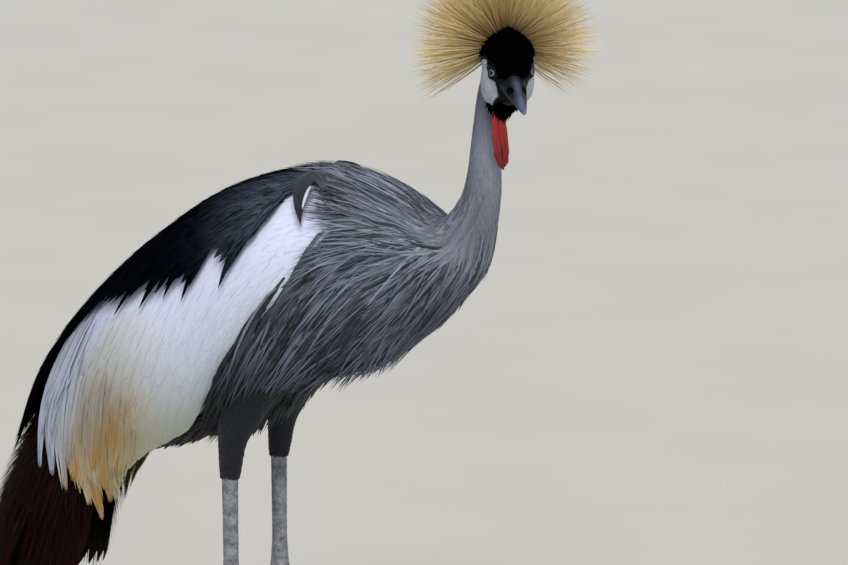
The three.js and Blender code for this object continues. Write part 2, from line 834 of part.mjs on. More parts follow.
function flightSolid(side) {
  const core = wingCore(side, WING.part + STATION_GAP, WING.back, 2.5);
  const i = side > 0 ? 0 : 1;
  const above = coverts[i].map((feather) => vane({ ...feather, grow: GAP + 0.1 }));
  const whole = fuse([core, ...flightFeathers[i].map(vane)]);
  return largest(whole.subtract(fuse(above)).subtract(bodyRoom).subtract(halfSpace(side)));
}

const wings = [1, -1].map(wingSolid);
const flights = [1, -1].map(flightSolid);

// Tail: ten flat feathers fanned from the rump, between the hanging feathers of the two wings.
const TAIL = { lift: 12, feathers: 9, spread: 34, reach: 2.5 };

function tailFeather(i) {
  const share = i / (TAIL.feathers - 1) - 0.5;
  const stations = [RUMP + STATION_GAP, RUMP + 0.5, RUMP + 1.3, RUMP + 2.1, RUMP + TAIL.reach];
  const widths = [3.5, 8, 10, 9.5, 0];
  const rings = stations.map((station, k) => {
    const [x, z, slope] = along(station);
    const lean = radians(slope);
    const up = new THREE.Vector3(-Math.sin(lean), 0, Math.cos(lean));
    const opened = (station - RUMP) / TAIL.reach;
    const roof = -10 * opened * share * share * 4;
    const at = new THREE.Vector3(x, 0, z).addScaledVector(up, TAIL.lift + roof + i * 1.25 - 6);
    at.y = share * (22 + (2 * TAIL.spread - 22) * opened);
    const side = new THREE.Vector3(0, 1, 0);
    const w = widths[k];
    return [
      at.clone().addScaledVector(side, -w).addScaledVector(up, 0.55),
      at.clone().addScaledVector(side, w).addScaledVector(up, 0.55),
      at.clone().addScaledVector(side, w).addScaledVector(up, -0.55),
      at.clone().addScaledVector(side, -w).addScaledVector(up, -0.55),
    ];
  });
  const tip = middleOf(rings.pop());
  return solidOf(loft(rings, null, tip));
}

function tailRoot() {
  const stations = [RUMP + STATION_GAP, RUMP + 0.3, RUMP + 0.75];
  const rings = stations.map((station, i) => {
    const [x, z, slope] = along(station);
    const lean = radians(slope);
    const up = new THREE.Vector3(-Math.sin(lean), 0, Math.cos(lean));
    const at = new THREE.Vector3(x, 0, z).addScaledVector(up, TAIL.lift - 6 + 5 * (i / 2));
    return Array.from({ length: 12 }, (_, k) => {
      const angle = (k * Math.PI) / 6;
      const reach = at.clone().addScaledVector(up, (11 - 2 * i) * Math.sin(angle));
      reach.y += (18 + 3 * i) * Math.cos(angle);
      return reach;
    });
  });
  return solidOf(loft(rings));
}

const tailFeathers = Array.from({ length: TAIL.feathers }, (_, i) => tailFeather(i));
const tail = largest(fuse([tailRoot(), ...tailFeathers]));

function shankSolid() {
  const points = [
    [0, 0, LEG.featherEdge - GAP],
    [0, 0, 300],
    [0, 0, 250],
    [0, 0, 225],
    [0, 0, LEG.ankle + GAP],
  ];
  return limb(points, [8.6, 8.4, 8.2, 9.5, 11.5], 12);
}

function footBoneSolid() {
  const points = [
    [0, 0, LEG.ankle],
    [0, 0, 195],
    [0, 0, 170],
    [0, 0, 60],
    [0, 0, 26],
    [0, 0, LEG.toeRoot + GAP],
  ];
  return limb(points, [11.5, 9.5, 7.6, 7.4, 8.2, 9.5], 12);
}

function toeSolid({ turn, reach }) {
  const c = Math.cos(radians(turn));
  const s = Math.sin(radians(turn));
  const line = [2, 14, reach * 0.5, reach * 0.8, reach];
  const high = [8, 7.5, 6, 5, 4.4];
  const rings = line.map((d, i) => {
    const half = high[i] * 0.75;
    const top = i === 0 ? LEG.toeRoot : high[i] * 2 - 2;
    const corners = [
      [-0.8, 0],
      [-1, 0.45],
      [-0.6, 0.9],
      [0, 1],
      [0.6, 0.9],
      [1, 0.45],
      [0.8, 0],
      [0, 0],
    ];
    return corners.map(([across, up]) => {
      const side = across * half;
      return new THREE.Vector3(d * c - side * s, d * s + side * c, up * top);
    });
  });
  return solidOf(loft(rings));
}

function clawSolid({ turn, reach }) {
  const c = Math.cos(radians(turn));
  const s = Math.sin(radians(turn));
  const steps = [
    [reach + GAP, 5.5, 3.2],
    [reach + 6, 4.2, 2.4],
    [reach + 12, 2.4, 1.3],
  ];
  const rings = steps.map(([d, top, half]) =>
    [
      [-1, 0.2],
      [-0.6, 0.8],
      [0, 1],
      [0.6, 0.8],
      [1, 0.2],
      [0, 0.06],
    ].map(([across, up]) => {
      const side = across * half;
      return new THREE.Vector3(d * c - side * s, d * s + side * c, up * top);
    }),
  );
  const tip = new THREE.Vector3((reach + 16) * c, (reach + 16) * s, 0.4);
  return solidOf(loft(rings, null, tip));
}

function footSolid() {
  const palm = new THREE.CylinderGeometry(9.5, 11, LEG.toeRoot, 10);
  palm.rotateX(Math.PI / 2);
  palm.translate(0, 0, LEG.toeRoot / 2);
  return largest(fuse([solidOf(palm), ...TOES.map(toeSolid)]));
}

function meshOf(name, solid, colour, roughness) {
  const material = new THREE.MeshStandardMaterial({ color: COLOURS[colour], roughness, metalness: 0 });
  const mesh = new THREE.Mesh(geometryOf(solid), material);
  mesh.name = name;
  return mesh;
}

// Assembly
const crane = new THREE.Group();
crane.position.x = -MIDDLE_X;
crane.add(meshOf("neck", neck, "slate", 0.9));
crane.add(meshOf("torso", torso, "slate", 0.9));
crane.add(meshOf("wing_right", wings[0], "white", 0.9));
crane.add(meshOf("wing_left", wings[1], "white", 0.9));
crane.add(meshOf("flight_right", flights[0], "chestnut", 0.9));
crane.add(meshOf("flight_left", flights[1], "chestnut", 0.9));
crane.add(meshOf("tail", tail, "black", 0.9));
crane.add(meshOf("wattle", wattle, "red", 0.6));

headFrame.add(meshOf("head", head, "black", 0.95));
headFrame.add(meshOf("bill_upper", billUpper, "horn", 0.4));
headFrame.add(meshOf("bill_lower", billLower, "horn", 0.4));
headFrame.add(meshOf("eye_right", eyeBalls[0], "iris", 0.1));
headFrame.add(meshOf("eye_left", eyeBalls[1], "iris", 0.1));
headFrame.add(meshOf("crest", crest, "gold", 0.8));
crane.add(headFrame);

["right", "left"].forEach((name, i) => {
  const leg = new THREE.Group();
  leg.position.set(i === 0 ? RIGHT_LEG_X : LEFT_LEG_X, i === 0 ? -LEG_SPREAD : LEG_SPREAD, 0);
  crane.add(meshOf(`thigh_${name}`, thighs[i], "slate", 0.9));
  leg.add(meshOf(`shank_${name}`, shankSolid(), "scale", 0.7));
  leg.add(meshOf(`tarsus_${name}`, footBoneSolid(), "scale", 0.7));
  leg.add(meshOf(`foot_${name}`, footSolid(), "scale", 0.7));
  TOES.forEach((toe, k) => leg.add(meshOf(`claw_${name}_${k + 1}`, clawSolid(toe), "claw", 0.5)));
  crane.add(leg);
});

export default crane;
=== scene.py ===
import math

import bpy
import numpy as np
from mathutils import Matrix, Vector
from mathutils.kdtree import KDTree


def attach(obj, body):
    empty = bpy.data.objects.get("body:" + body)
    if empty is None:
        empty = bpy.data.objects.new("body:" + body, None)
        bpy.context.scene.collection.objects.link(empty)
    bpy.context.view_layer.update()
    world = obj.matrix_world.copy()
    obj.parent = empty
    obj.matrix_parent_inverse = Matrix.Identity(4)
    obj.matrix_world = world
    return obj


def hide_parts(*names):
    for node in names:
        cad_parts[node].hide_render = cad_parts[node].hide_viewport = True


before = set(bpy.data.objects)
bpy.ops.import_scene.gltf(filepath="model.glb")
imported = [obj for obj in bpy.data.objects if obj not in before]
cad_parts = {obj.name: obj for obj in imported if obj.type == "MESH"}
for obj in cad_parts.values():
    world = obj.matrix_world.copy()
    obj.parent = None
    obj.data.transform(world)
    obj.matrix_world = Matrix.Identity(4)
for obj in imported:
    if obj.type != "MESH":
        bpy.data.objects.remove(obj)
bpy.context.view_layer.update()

# Studio
# A plain pale floor under one wide soft lamp high in front, a weak one from the right and a pale
# surround. The light falls as on a bright day with thin cloud, so the white stays white.
scene = bpy.context.scene
scene.view_settings.view_transform = "Standard"


def colour(code):
    """The linear value of an sRGB hex colour."""
    shares = [int(code[i : i + 2], 16) / 255 for i in (1, 3, 5)]
    return [s / 12.92 if s <= 0.04045 else ((s + 0.055) / 1.055) ** 2.4 for s in shares] + [1.0]


def settle(tree, node, values=None, links=None):
    """Gives a node its socket values, and the outputs that feed its sockets."""
    for key, value in (values or {}).items():
        node.inputs[key].default_value = value
    for key, output in (links or {}).items():
        tree.links.new(output, node.inputs[key])
    return node


def add(tree, kind, values=None, links=None, **settings):
    """A new node with its settings, its socket values and the outputs that feed it."""
    made = tree.nodes.new(kind)
    for key, value in settings.items():
        setattr(made, key, value)
    return settle(tree, made, values, links)


def material(name):
    """A new material's tree with only its shader and output."""
    made = bpy.data.materials.new(name)
    made.use_nodes = True
    return made, made.node_tree, made.node_tree.nodes["Principled BSDF"]


bpy.ops.object.select_all(action="DESELECT")
bpy.ops.mesh.primitive_plane_add(size=60, location=(0, 0, 0))
floor = bpy.context.object
floor.name = "studio_floor"
bpy.ops.object.transform_apply(location=True, rotation=True, scale=True)
# painted board, rolled matt
painted_board, tree, shader = material("painted_board")
mottle = add(tree, "ShaderNodeTexNoise", {"Scale": 3.0, "Detail": 4.0},
             {"Vector": add(tree, "ShaderNodeTexCoord").outputs["Object"]})
tone = add(tree, "ShaderNodeValToRGB", links={"Fac": mottle.outputs["Fac"]})
tone.color_ramp.elements[0].color = colour("#b9b9b4")
tone.color_ramp.elements[1].color = colour("#c3c3be")
settle(tree, shader, {"Roughness": 0.85}, {"Base Color": tone.outputs["Color"]})
floor.data.materials.append(painted_board)

world = bpy.data.worlds.new("studio_air")
scene.world = world
world.use_nodes = True
settle(world.node_tree, world.node_tree.nodes["Background"], {"Color": colour("#e6ecf6"), "Strength": 0.62})


def soft_sun(name, place, strength, spread_degrees, tint):
    """A distant lamp with a wide disc, shining from a place towards the bird."""
    lamp = bpy.data.lights.new(name, "SUN")
    lamp.energy = strength
    lamp.angle = math.radians(spread_degrees)
    lamp.color = colour(tint)[:3]
    holder = bpy.data.objects.new(name, lamp)
    holder.location = place
    holder.rotation_euler = (Vector((0, 0, 0.5)) - Vector(place)).to_track_quat("-Z", "Y").to_euler()
    scene.collection.objects.link(holder)


soft_sun("key_lamp", (0.9, -1.5, 3.2), 2.3, 28, "#fff7ec")
soft_sun("fill_lamp", (2.6, -1.0, 1.2), 0.35, 60, "#eef3ff")

# The camera stands four metres off, ahead of the bird's right side and a little above it.
eye_place = Vector((1.7602, -3.3498, 1.4095))
eye_aim = Vector((0.1130, 0.1825, 0.5097))
body_middle = Vector((-0.028, 0, 0))
camera = bpy.data.objects.new("camera", bpy.data.cameras.new("camera"))
camera.data.sensor_width = 36
picture_width, focal_length = 848, 3720
camera.data.lens = camera.data.sensor_width * focal_length / picture_width
camera.location = eye_place + body_middle
camera.rotation_euler = (eye_aim - eye_place).to_track_quat("-Z", "Y").to_euler()
scene.collection.objects.link(camera)
scene.camera = camera

# Skin
# The bird's flesh under its plumage, one closed skin from the crown to the soles. Feathered skin
# is thin and dull, the cheeks are bare, smooth and white, and the legs are covered with scales.
MM = 0.001
# how far the bird's own frame lies ahead of the origin, in mm
MIDDLE = 28.0

# x, z, slope of the spine, half height, half width, flesh depth at back, belly and flank (mm)
STATIONS = np.array([
    [276, 780, 70, 12.5, 12.5, 0, 0, 0],
    [270, 752, 80, 13, 13, 0, 0, 0],
    [267.5, 727, 86, 14, 13.5, 0, 0, 0],
    [266, 697, 85, 16, 15.5, 0, 0, 0],
    [265, 670, 81, 18.5, 18, 0, 0, 0],
    [260.5, 644, 76, 21.5, 21, 0, 0, 0],
    [251, 618, 66, 27, 27, 1, 1, 1],
    [238, 600, 47, 38, 38, 3, 3, 3],
    [214, 593, 29, 57, 54, 6, 4, 6],
    [180, 584, 22, 81, 74, 10, 6, 10],
    [130, 574.5, 20, 102, 91, 12, 8, 16],
    [74.5, 558, 21.5, 110, 101, 14, 10, 20],
    [15, 530.5, 23, 114, 104, 15, 12, 24],
    [-45, 491, 24, 113, 102, 16, 22, 28],
    [-102, 452, 27, 105, 96, 18, 38, 34],
    [-155, 410, 33, 92, 87, 22, 56, 42],
    [-197, 364, 40, 80, 77, 30, 64, 48],
    [-222, 307, 48, 74, 68, 30, 60, 50],
    [-247, 240, 56, 76, 62, 30, 60, 50],
    [-272, 170, 62, 70, 54, 30, 60, 50],
])


def smooth_rows(rows, place):
    """Rows read at places between them, smooth through every row."""
    last = len(rows) - 1
    place = np.clip(place, 0, last)
    low = np.minimum(place.astype(int), last - 1)
    t = (place - low)[..., None]
    p, q, r, v = [rows[np.clip(low + k, 0, last)] for k in (-1, 0, 1, 2)]
    bow = 2 * p - 5 * q + 4 * r - v
    twist = 3 * q - p - 3 * r + v
    return 0.5 * (2 * q + (r - p) * t + bow * t**2 + twist * t**3)


def coat(station, angle, depth):
    """Points on the plumage, below its surface by a depth in mm; 0 degrees is the back, + the right."""
    place = [np.asarray(value, float) for value in (station, angle, depth)]
    station, angle, depth = np.broadcast_arrays(*place)
    x, z, slope, high, wide = np.moveaxis(smooth_rows(STATIONS, station), -1, 0)[:5]
    turn, lean = np.radians(angle), np.radians(slope)
    up, side = (high - depth) * np.cos(turn), (wide - depth) * np.sin(turn)
    return np.stack([x - MIDDLE - np.sin(lean) * up, -side, z + np.cos(lean) * up], -1) * MM


def unit(vectors):
    """The same ways with a length of one."""
    return vectors / np.maximum(np.linalg.norm(vectors, axis=-1, keepdims=True), 1e-9)





def flesh_depth(station, angle):
    """How deep the skin lies under the outer face of the plumage, in mm."""
    rows = smooth_rows(STATIONS, np.asarray(station, float))
    cosine = np.cos(np.radians(angle))
    share = cosine**2
    return share * np.where(cosine > 0, rows[..., 5], rows[..., 6]) + (1 - share) * rows[..., 7]


def select(piece):
    """Makes a piece the only one selected, and the active one."""
    bpy.ops.object.select_all(action="DESELECT")
    piece.select_set(True)
    bpy.context.view_layer.objects.active = piece


def smoothed(piece):
    """Shades all the faces of a piece smooth."""
    for face in piece.data.polygons:
        face.use_smooth = True


def mesh_object(name, points, faces):
    """An object from points and faces, with its faces turned outwards."""
    made = bpy.data.meshes.new(name)
    made.from_pydata([tuple(p) for p in points], [], [tuple(f) for f in faces])
    holder = bpy.data.objects.new(name, made)
    scene.collection.objects.link(holder)
    select(holder)
    bpy.ops.object.mode_set(mode="EDIT")
    bpy.ops.mesh.select_all(action="SELECT")
    bpy.ops.mesh.normals_make_consistent(inside=False)
    bpy.ops.object.mode_set(mode="OBJECT")
    return holder


def loft(name, rings):
    """A closed skin over rings of points, in metres."""
    rings = np.asarray(rings)
    count, around = rings.shape[:2]
    nxt = [(k + 1) % around for k in range(around)]
    faces = [[r * around + k, r * around + nxt[k], (r + 1) * around + nxt[k], (r + 1) * around + k]
             for r in range(count - 1) for k in range(around)]
    faces += [list(range(around)), list(range((count - 1) * around, count * around))]
    return mesh_object(name, rings.reshape(-1, 3), faces)


def joined(name, pieces):
    """Pieces joined into the first of them."""
    bpy.ops.object.select_all(action="DESELECT")
    for piece in pieces:
        piece.select_set(True)
    bpy.context.view_layer.objects.active = pieces[0]
    bpy.ops.object.join()
    pieces[0].name = name
    return pieces[0]


def remeshed(piece, voxel):
    """One closed surface round all that a piece holds, with cells of a size in mm."""
    bpy.context.view_layer.objects.active = piece
    skin_maker = piece.modifiers.new("one_skin", "REMESH")
    skin_maker.mode = "VOXEL"
    skin_maker.voxel_size = voxel * MM
    bpy.ops.object.modifier_apply(modifier="one_skin")
    return piece


RING_ANGLES = np.arange(0, 360, 7.5)
# the coat's own thickness over the flesh, thinner up the neck
COAT_DEPTH = 3.0
trunk_rings = []
for s in np.arange(0, 16.01, 0.25):
    under_coat = flesh_depth(np.full(48, s), RING_ANGLES) + COAT_DEPTH * min(1, s / 2 + 0.4)
    trunk_rings.append(coat(s, RING_ANGLES, under_coat))
trunk = loft("trunk", trunk_rings)


def wing_low(station):
    """The angle of the folded wing's lower edge."""
    return np.interp(station, [9.9, 10.9, 11.9, 12.9, 13.9, 14.9, 15.9], [96, 106, 122, 138, 150, 156, 156])


def wing_bed(name, side):
    """The folded arm and its skin, a bent plate along the flank."""
    rings = []
    for s in np.arange(10.0, 15.56, 0.25):
        angles = np.linspace(9, wing_low(s) - 2, 25)
        flesh = flesh_depth(np.full(25, s), angles)
        outer = coat(s, side * angles, np.minimum(15, flesh - 1))
        inner = coat(s, side * angles, np.minimum(23, flesh + 7))
        rings.append(np.concatenate([outer, inner[::-1]]))
    return loft(name, rings)


# where the legs stand, in mm of the bird's own frame: 1 is its right, -1 its left
LEG_X = {1: -2.0, -1: 4.0}
LEG_Y = {1: -50.0, -1: 50.0}


def limb(name, line, radii, across):
    """A length of leg: level rings round a line of places, in mm, each with its radius."""
    turn = np.linspace(0, 2 * np.pi, 32, endpoint=False)
    rings = [np.stack([x - MIDDLE + r * np.cos(turn), y + r * across * np.sin(turn), np.full(32, z)], -1) * MM
             for (x, y, z), r in zip(line, radii)]
    return loft(name, rings)


def thigh_line(side):
    """The middle of the thigh, from the hip down to the bare shank."""
    x, y = LEG_X[side], LEG_Y[side]
    return [(x + 24, y * 0.72, 480), (x + 20, y * 0.8, 440), (x + 12, y * 0.92, 405), (x + 4, y, 378),
            (x + 1, y, 350), (x, y, 338)]


THIGH_RADII = np.array([46, 38, 25, 16, 12.5, 10.5])
thighs = [limb("thigh", thigh_line(side), THIGH_RADII - 2.5, 0.8) for side in (1, -1)]
beds = [wing_bed("bed_right", 1), wing_bed("bed_left", -1)]
skin = remeshed(joined("skin", [trunk, *beds, *thighs]), 3.2)

# Head, in its own frame: +X along the bill, +Y to its left, +Z to the crown
HEAD = (Matrix.Translation(Vector((298 - MIDDLE, -18, 796)) * MM)
        @ Matrix.Rotation(math.radians(-54), 4, "Z") @ Matrix.Rotation(math.radians(18), 4, "Y"))
HEAD_TURN = np.array(HEAD.to_3x3())
HEAD_AT = np.array(HEAD.translation)


def on_head(points_mm):
    """Points of the head's own frame, in mm, placed on the bird in metres."""
    return np.asarray(points_mm) @ HEAD_TURN.T * MM + HEAD_AT


# x, top, bottom, widest height, half width (mm)
SKULL = np.array([
    [-34, 14, -8, 2, 10],
    [-28, 20, -20, 2, 19],
    [-16, 28, -30, 1, 25],
    [-2, 30.5, -36, 0, 27.5],
    [10, 29, -40, -4, 25],
    [20, 25, -40, -8, 20.5],
    [28, 14, -35, -10, 15.5],
    [33, 4, -28, -11, 12],
])
# how far the crown's sides draw in: 1 is a round dome, more is a peaked one
DOME = 1.75


def skull(place, angle, grow=0.0):
    """Points on the head in mm, by place along its rows and angle from the crown round to its left."""
    place, angle = np.broadcast_arrays(np.asarray(place, float), np.asarray(angle, float))
    x, top, bottom, middle, half = np.moveaxis(smooth_rows(SKULL, place), -1, 0)
    sine, cosine = np.sin(np.radians(angle)), np.cos(np.radians(angle))
    reach = np.where(cosine > 0, top - middle, middle - bottom) + grow
    wide = np.abs(sine) ** np.where(cosine > 0, DOME, 1.0) * np.sign(sine)
    return np.stack([x, (half + grow) * wide, middle + reach * cosine], -1)


EYE = np.array([20, 17.6, -3.5])
EYE_RADIUS = 5.6


def ball(name, place_mm, size_mm, segments=24, rings=16):
    """A round lump at a place on the head."""
    bpy.ops.object.select_all(action="DESELECT")
    bpy.ops.mesh.primitive_uv_sphere_add(segments=segments, ring_count=rings, radius=1)
    lump = bpy.context.object
    lump.name = name
    size = Matrix.Diagonal((*(np.array(size_mm) * MM), 1))
    lump.matrix_world = HEAD @ Matrix.Translation(Vector(place_mm) * MM) @ size
    bpy.ops.object.transform_apply(location=True, rotation=True, scale=True)
    return lump


skull_rings = [on_head(skull(h, RING_ANGLES, -1.2)) for h in np.arange(0, 7.01, 0.25)]
# the way that the left eye looks
EYE_WAY = unit(np.array([0.56, 0.77, 0.3]))
lumps = [loft("skull", skull_rings)]
for side in (1, -1):
    for name, place, size in (("cheek", (5.5, 18.3, -20.5), (16.5, 8.3, 23)),
                              ("jowl", (14, 13.5, -31), (10.5, 6.5, 13)),
                              ("brow", (14, 15.5, 3.5), (9, 6, 4.5)),
                              ("eye_mound", EYE - EYE_WAY * 1.4, (7.3, 7.3, 7.0))):
        lumps.append(ball(name, np.array(place) * (1, side, 1), size))
lumps.append(ball("lore", (25.5, 0, -12.5), (11, 13.5, 13)))
lumps.append(ball("hind_crown", (-21, 0, 1), (14, 18, 19)))
head_skin = remeshed(joined("head_skin", lumps), 1.3)
smoother = head_skin.modifiers.new("soften", "SMOOTH")
smoother.factor, smoother.iterations = 0.5, 8
bpy.ops.object.modifier_apply(modifier="soften")


def cut(piece, tool, operation="DIFFERENCE"):
    """A Boolean with another piece, which is used up."""
    bpy.ops.object.select_all(action="DESELECT")
    bpy.context.view_layer.objects.active = piece
    boolean = piece.modifiers.new("cut", "BOOLEAN")
    boolean.operation, boolean.object, boolean.solver = operation, tool, "MANIFOLD"
    bpy.ops.object.modifier_apply(modifier="cut")
    bpy.data.objects.remove(tool, do_unlink=True)


# Lids: a soft rim of folded skin round each eye, and the opening and socket that the eye lies in.
for side in (1, -1):
    eye, way = EYE * (1, side, 1), EYE_WAY * (1, side, 1)
    turned = Vector(way).to_track_quat("Z", "Y").to_matrix().to_4x4()
    for name, out, major, minor in (("lid", 2.9, 4.75, 0.85), ("lid_fold", 1.4, 6.2, 0.55)):
        bpy.ops.object.select_all(action="DESELECT")
        bpy.ops.mesh.primitive_torus_add(major_segments=44, minor_segments=12, major_radius=major * MM,
                                         minor_radius=minor * MM)
        rim = bpy.context.object
        place = Matrix.Translation(Vector(eye + way * out) * MM)
        rim.matrix_world = HEAD @ place @ turned @ Matrix.Diagonal((0.9, 1.0, 1, 1))
        bpy.ops.object.transform_apply(location=True, rotation=True, scale=True)
        cut(head_skin, rim, "UNION")
    cut(head_skin, ball("opening", eye + way * 6.0 - (0, 0, 0.5), (4.3, 4.3, 3.7), 32, 20))
    cut(head_skin, ball("socket", eye, (EYE_RADIUS + 0.12,) * 3, 48, 32))

cut(skin, head_skin, "UNION")


# Bare legs: broad scutes run down the front of the shank and foot bone, small round scales behind.
SCUTE_PITCH = 7.5
LEG_RADII = [(14, 9.5), (26, 8.2), (60, 7.4), (170, 7.6), (195, 9.6), (209, 11.3), (225, 9.5), (250, 8.1),
             (300, 8.4), (345, 8.8)]


def scaled_leg(name, side):
    """The bare leg from the thigh's feathers down to the foot."""
    heights = np.arange(345, 13.9, -1.1)
    radius = np.interp(heights, *np.array(LEG_RADII).T)
    turn = np.radians(np.arange(0, 360, 9))
    front = np.clip(np.cos(turn) * 1.6 - 0.3, 0, 1)
    rings = []
    for z, r in zip(heights, radius):
        plate = np.abs(((z / SCUTE_PITCH) % 1) - 0.5) * 2
        relief = 0.45 * (1 - plate**6) * front
        nubs = 0.28 * np.abs(np.sin(turn * 9) * np.sin(z * 1.1)) * (1 - front)
        reach = r - 0.45 + relief + nubs
        rings.append(np.stack([LEG_X[side] - MIDDLE + reach * np.cos(turn),
                               LEG_Y[side] + reach * np.sin(turn),
                               np.full(40, z)], -1) * MM)
    return loft(name, rings)


# each toe's turn from straight ahead, in degrees, and its length without the claw, in mm
TOES = [(-24, 70), (4, 92), (32, 72), (184, 40)]


def toe(name, side, turn, reach):
    """One toe with a bulge at each joint, flat beneath."""
    c, s = math.cos(math.radians(turn)), math.sin(math.radians(turn))
    around = np.radians(np.arange(0, 360, 15))
    rings = []
    for d in np.arange(0, reach + 0.01, 1.5):
        high = np.interp(d, [0, 14, reach * 0.5, reach * 0.8, reach], [13, 12.5, 10, 8, 6.6])
        joint = 1 + 0.09 * math.cos(2 * math.pi * d / (reach / 3.0))
        half = 0.42 * high * joint
        scute = 0.25 * abs(math.sin(math.pi * d / 3.6))
        across = half * np.sin(around)
        level = high * 0.5 * joint * (1 + np.cos(around)) + scute * np.clip(np.cos(around), 0, 1)
        level = np.maximum(level - 0.7, 0)
        rings.append(np.stack([LEG_X[side] - MIDDLE + d * c - across * s, LEG_Y[side] + d * s + across * c,
                               level], -1) * MM)
    return loft(name, rings)


for side in (1, -1):
    foot = [toe("foot", side, *lie) for lie in TOES]
    ball_of_foot = [(LEG_X[side], LEG_Y[side], z) for z in (0, 3, 10, 20)]
    foot.append(limb("palm", ball_of_foot, [9.5, 10.5, 10, 8.6], 1))
    cut(skin, remeshed(joined("foot", foot), 1.3), "UNION")
    cut(skin, scaled_leg("leg", side), "UNION")

# Plumage
# Body feathers are soft barbed vanes on a fine shaft, and the loose ones on neck and breast are
# narrow plumes. Every one is a thin closed vane, rooted in the skin and laid along the body.
chance = np.random.default_rng(1907)


def read(table, place):
    """A table of (place, value) pairs read at places."""
    table = np.array(table, float)
    return np.interp(place, table[:, 0], table[:, 1])


# half width along a feather, from its root to its tip
PLUME = [(0, 0.4), (0.15, 0.75), (0.4, 1), (0.65, 0.8), (0.85, 0.42), (1, 0.03)]
VANE = [(0, 0.3), (0.1, 0.7), (0.3, 0.95), (0.6, 1), (0.82, 0.8), (0.94, 0.45), (1, 0.06)]
QUILL = [(0, 0.45), (0.08, 0.8), (0.3, 1), (0.8, 0.96), (0.93, 0.7), (1, 0.1)]
BRISTLE = [(0, 1), (0.3, 0.85), (0.8, 0.6), (1, 0.12)]
# one feather's cross-section, closed: place across and height over its edges, in half widths
SLIM = [(-1, 0), (0, 0.35), (1, 0)]
THIN = [(-1, 0), (0, 0.16), (1, 0)]
BROAD = [(-1, 0), (-0.5, 0.09), (0, 0.14), (0.5, 0.09), (1, 0), (0, 0.06)]
SHEET = [(-1, 0), (0, 0.07), (1, 0)]
FLAT = [(-1, 0), (-0.5, 0.03), (0, 0.05), (0.5, 0.03), (1, 0), (0, 0.0)]


def linear(code):
    """The linear red, green and blue of an sRGB hex colour."""
    return np.array(colour(code)[:3])


def past(value, start, span):
    """How far values have gone over a span from its start, between 0 and 1."""
    return np.clip((value - start) / span, 0, 1)


def mixed(first, second, share):
    """One colour turned towards another by shares."""
    return first + (second - first) * np.clip(np.asarray(share, float), 0, 1)[..., None]


def paint(made, tones):
    """Keeps a mesh's own colours, one for each point, as its attribute called tone."""
    tones = np.asarray(tones).reshape(-1, 3)
    shade = made.color_attributes.new("tone", "FLOAT_COLOR", "POINT")
    shade.data.foreach_set("color", np.concatenate([tones, np.ones((len(tones), 1))], 1).reshape(-1))


def feathers(name, surface, root, tip, depth, half, tones, rings=6, outline=PLUME, section=SLIM,
             bend=0.0, lift=0.0, roll=0.0, patch=None, held=None):
    """Feathers as one mesh. The root and tip are places on a surface, the depths (mm) are at the root,
    where the feather lies, and at its tip; tones holds colours at the root, middle and tip."""
    count = len(root)
    rise = 0.22
    t = np.linspace(0, 1, rings)[None, :]
    bend, lift, roll, half = [np.broadcast_to(np.asarray(value, float), (count,))[:, None]
                              for value in (bend, lift, roll, half)]
    depth = np.broadcast_to(np.asarray(depth, float), (count, 3))[:, :, None]
    p = root[:, :1] + (tip[:, :1] - root[:, :1]) * t
    q = root[:, 1:] + (tip[:, 1:] - root[:, 1:]) * t + bend * 4 * t * (1 - t)
    if held is not None:
        q = held(p, q)
    sunk, laid, end = depth[:, 0], depth[:, 1], depth[:, 2]
    over = np.clip((t - rise) / (1 - rise), 0, 1)
    under = np.clip(t / rise, 0, 1)
    down = np.where(t < rise, sunk + (laid - sunk) * under * (2 - under), laid + (end - laid) * over**2)
    down = down - lift * over**3
    points = surface(p, q, down)
    out = surface(p, q, down - 1) - surface(p, q, down)
    along = unit(np.gradient(points, axis=1))
    wide_way = surface(p, q + 0.5, down) - surface(p, q - 0.5, down)
    far_way = surface(p + 0.02, q, down) - surface(p - 0.02, q, down)
    face = unit(np.cross(far_way, wide_way))
    face *= np.sign((face * out).sum(-1, keepdims=True))
    face = unit(face - along * (face * along).sum(-1, keepdims=True))
    across = np.cross(along, face)
    turn = np.radians(roll)[..., None]
    face, across = face * np.cos(turn) + across * np.sin(turn), across * np.cos(turn) - face * np.sin(turn)
    width = half * read(outline, t)
    u = np.array(section)[:, 0]
    h = np.array(section)[:, 1]
    k = len(u)
    spans = across[:, :, None, :] * u[:, None] + face[:, :, None, :] * h[:, None]
    body = points[:, :, None, :] + spans * (width[..., None, None] * MM)
    if patch is None:
        patch = np.stack([root[:, 0] / 20, root[:, 1] / 360 + 0.5], -1)
    bake = np.empty((count, rings, k, 2))
    bake[..., 0] = patch[:, None, None, 0] + u[None, None, :] * 0.0015
    bake[..., 1] = patch[:, None, None, 1] + (t[..., None] - 0.5) * 0.003
    vane = np.empty((count, rings, k, 2))
    vane[..., 0] = u[None, None, :] * 0.5 + 0.5
    vane[..., 1] = t[..., None]
    tones = np.asarray(tones)
    low, mid, high = tones[:, None, 0], tones[:, None, 1], tones[:, None, 2]
    run = t[..., None] * 2
    tone = np.where(run < 1, low + (mid - low) * run, mid + (high - mid) * (run - 1))
    tone = np.broadcast_to(tone[:, :, None, :], (count, rings, k, 3))
    return vanes_mesh(name, body, vane, bake, tone)


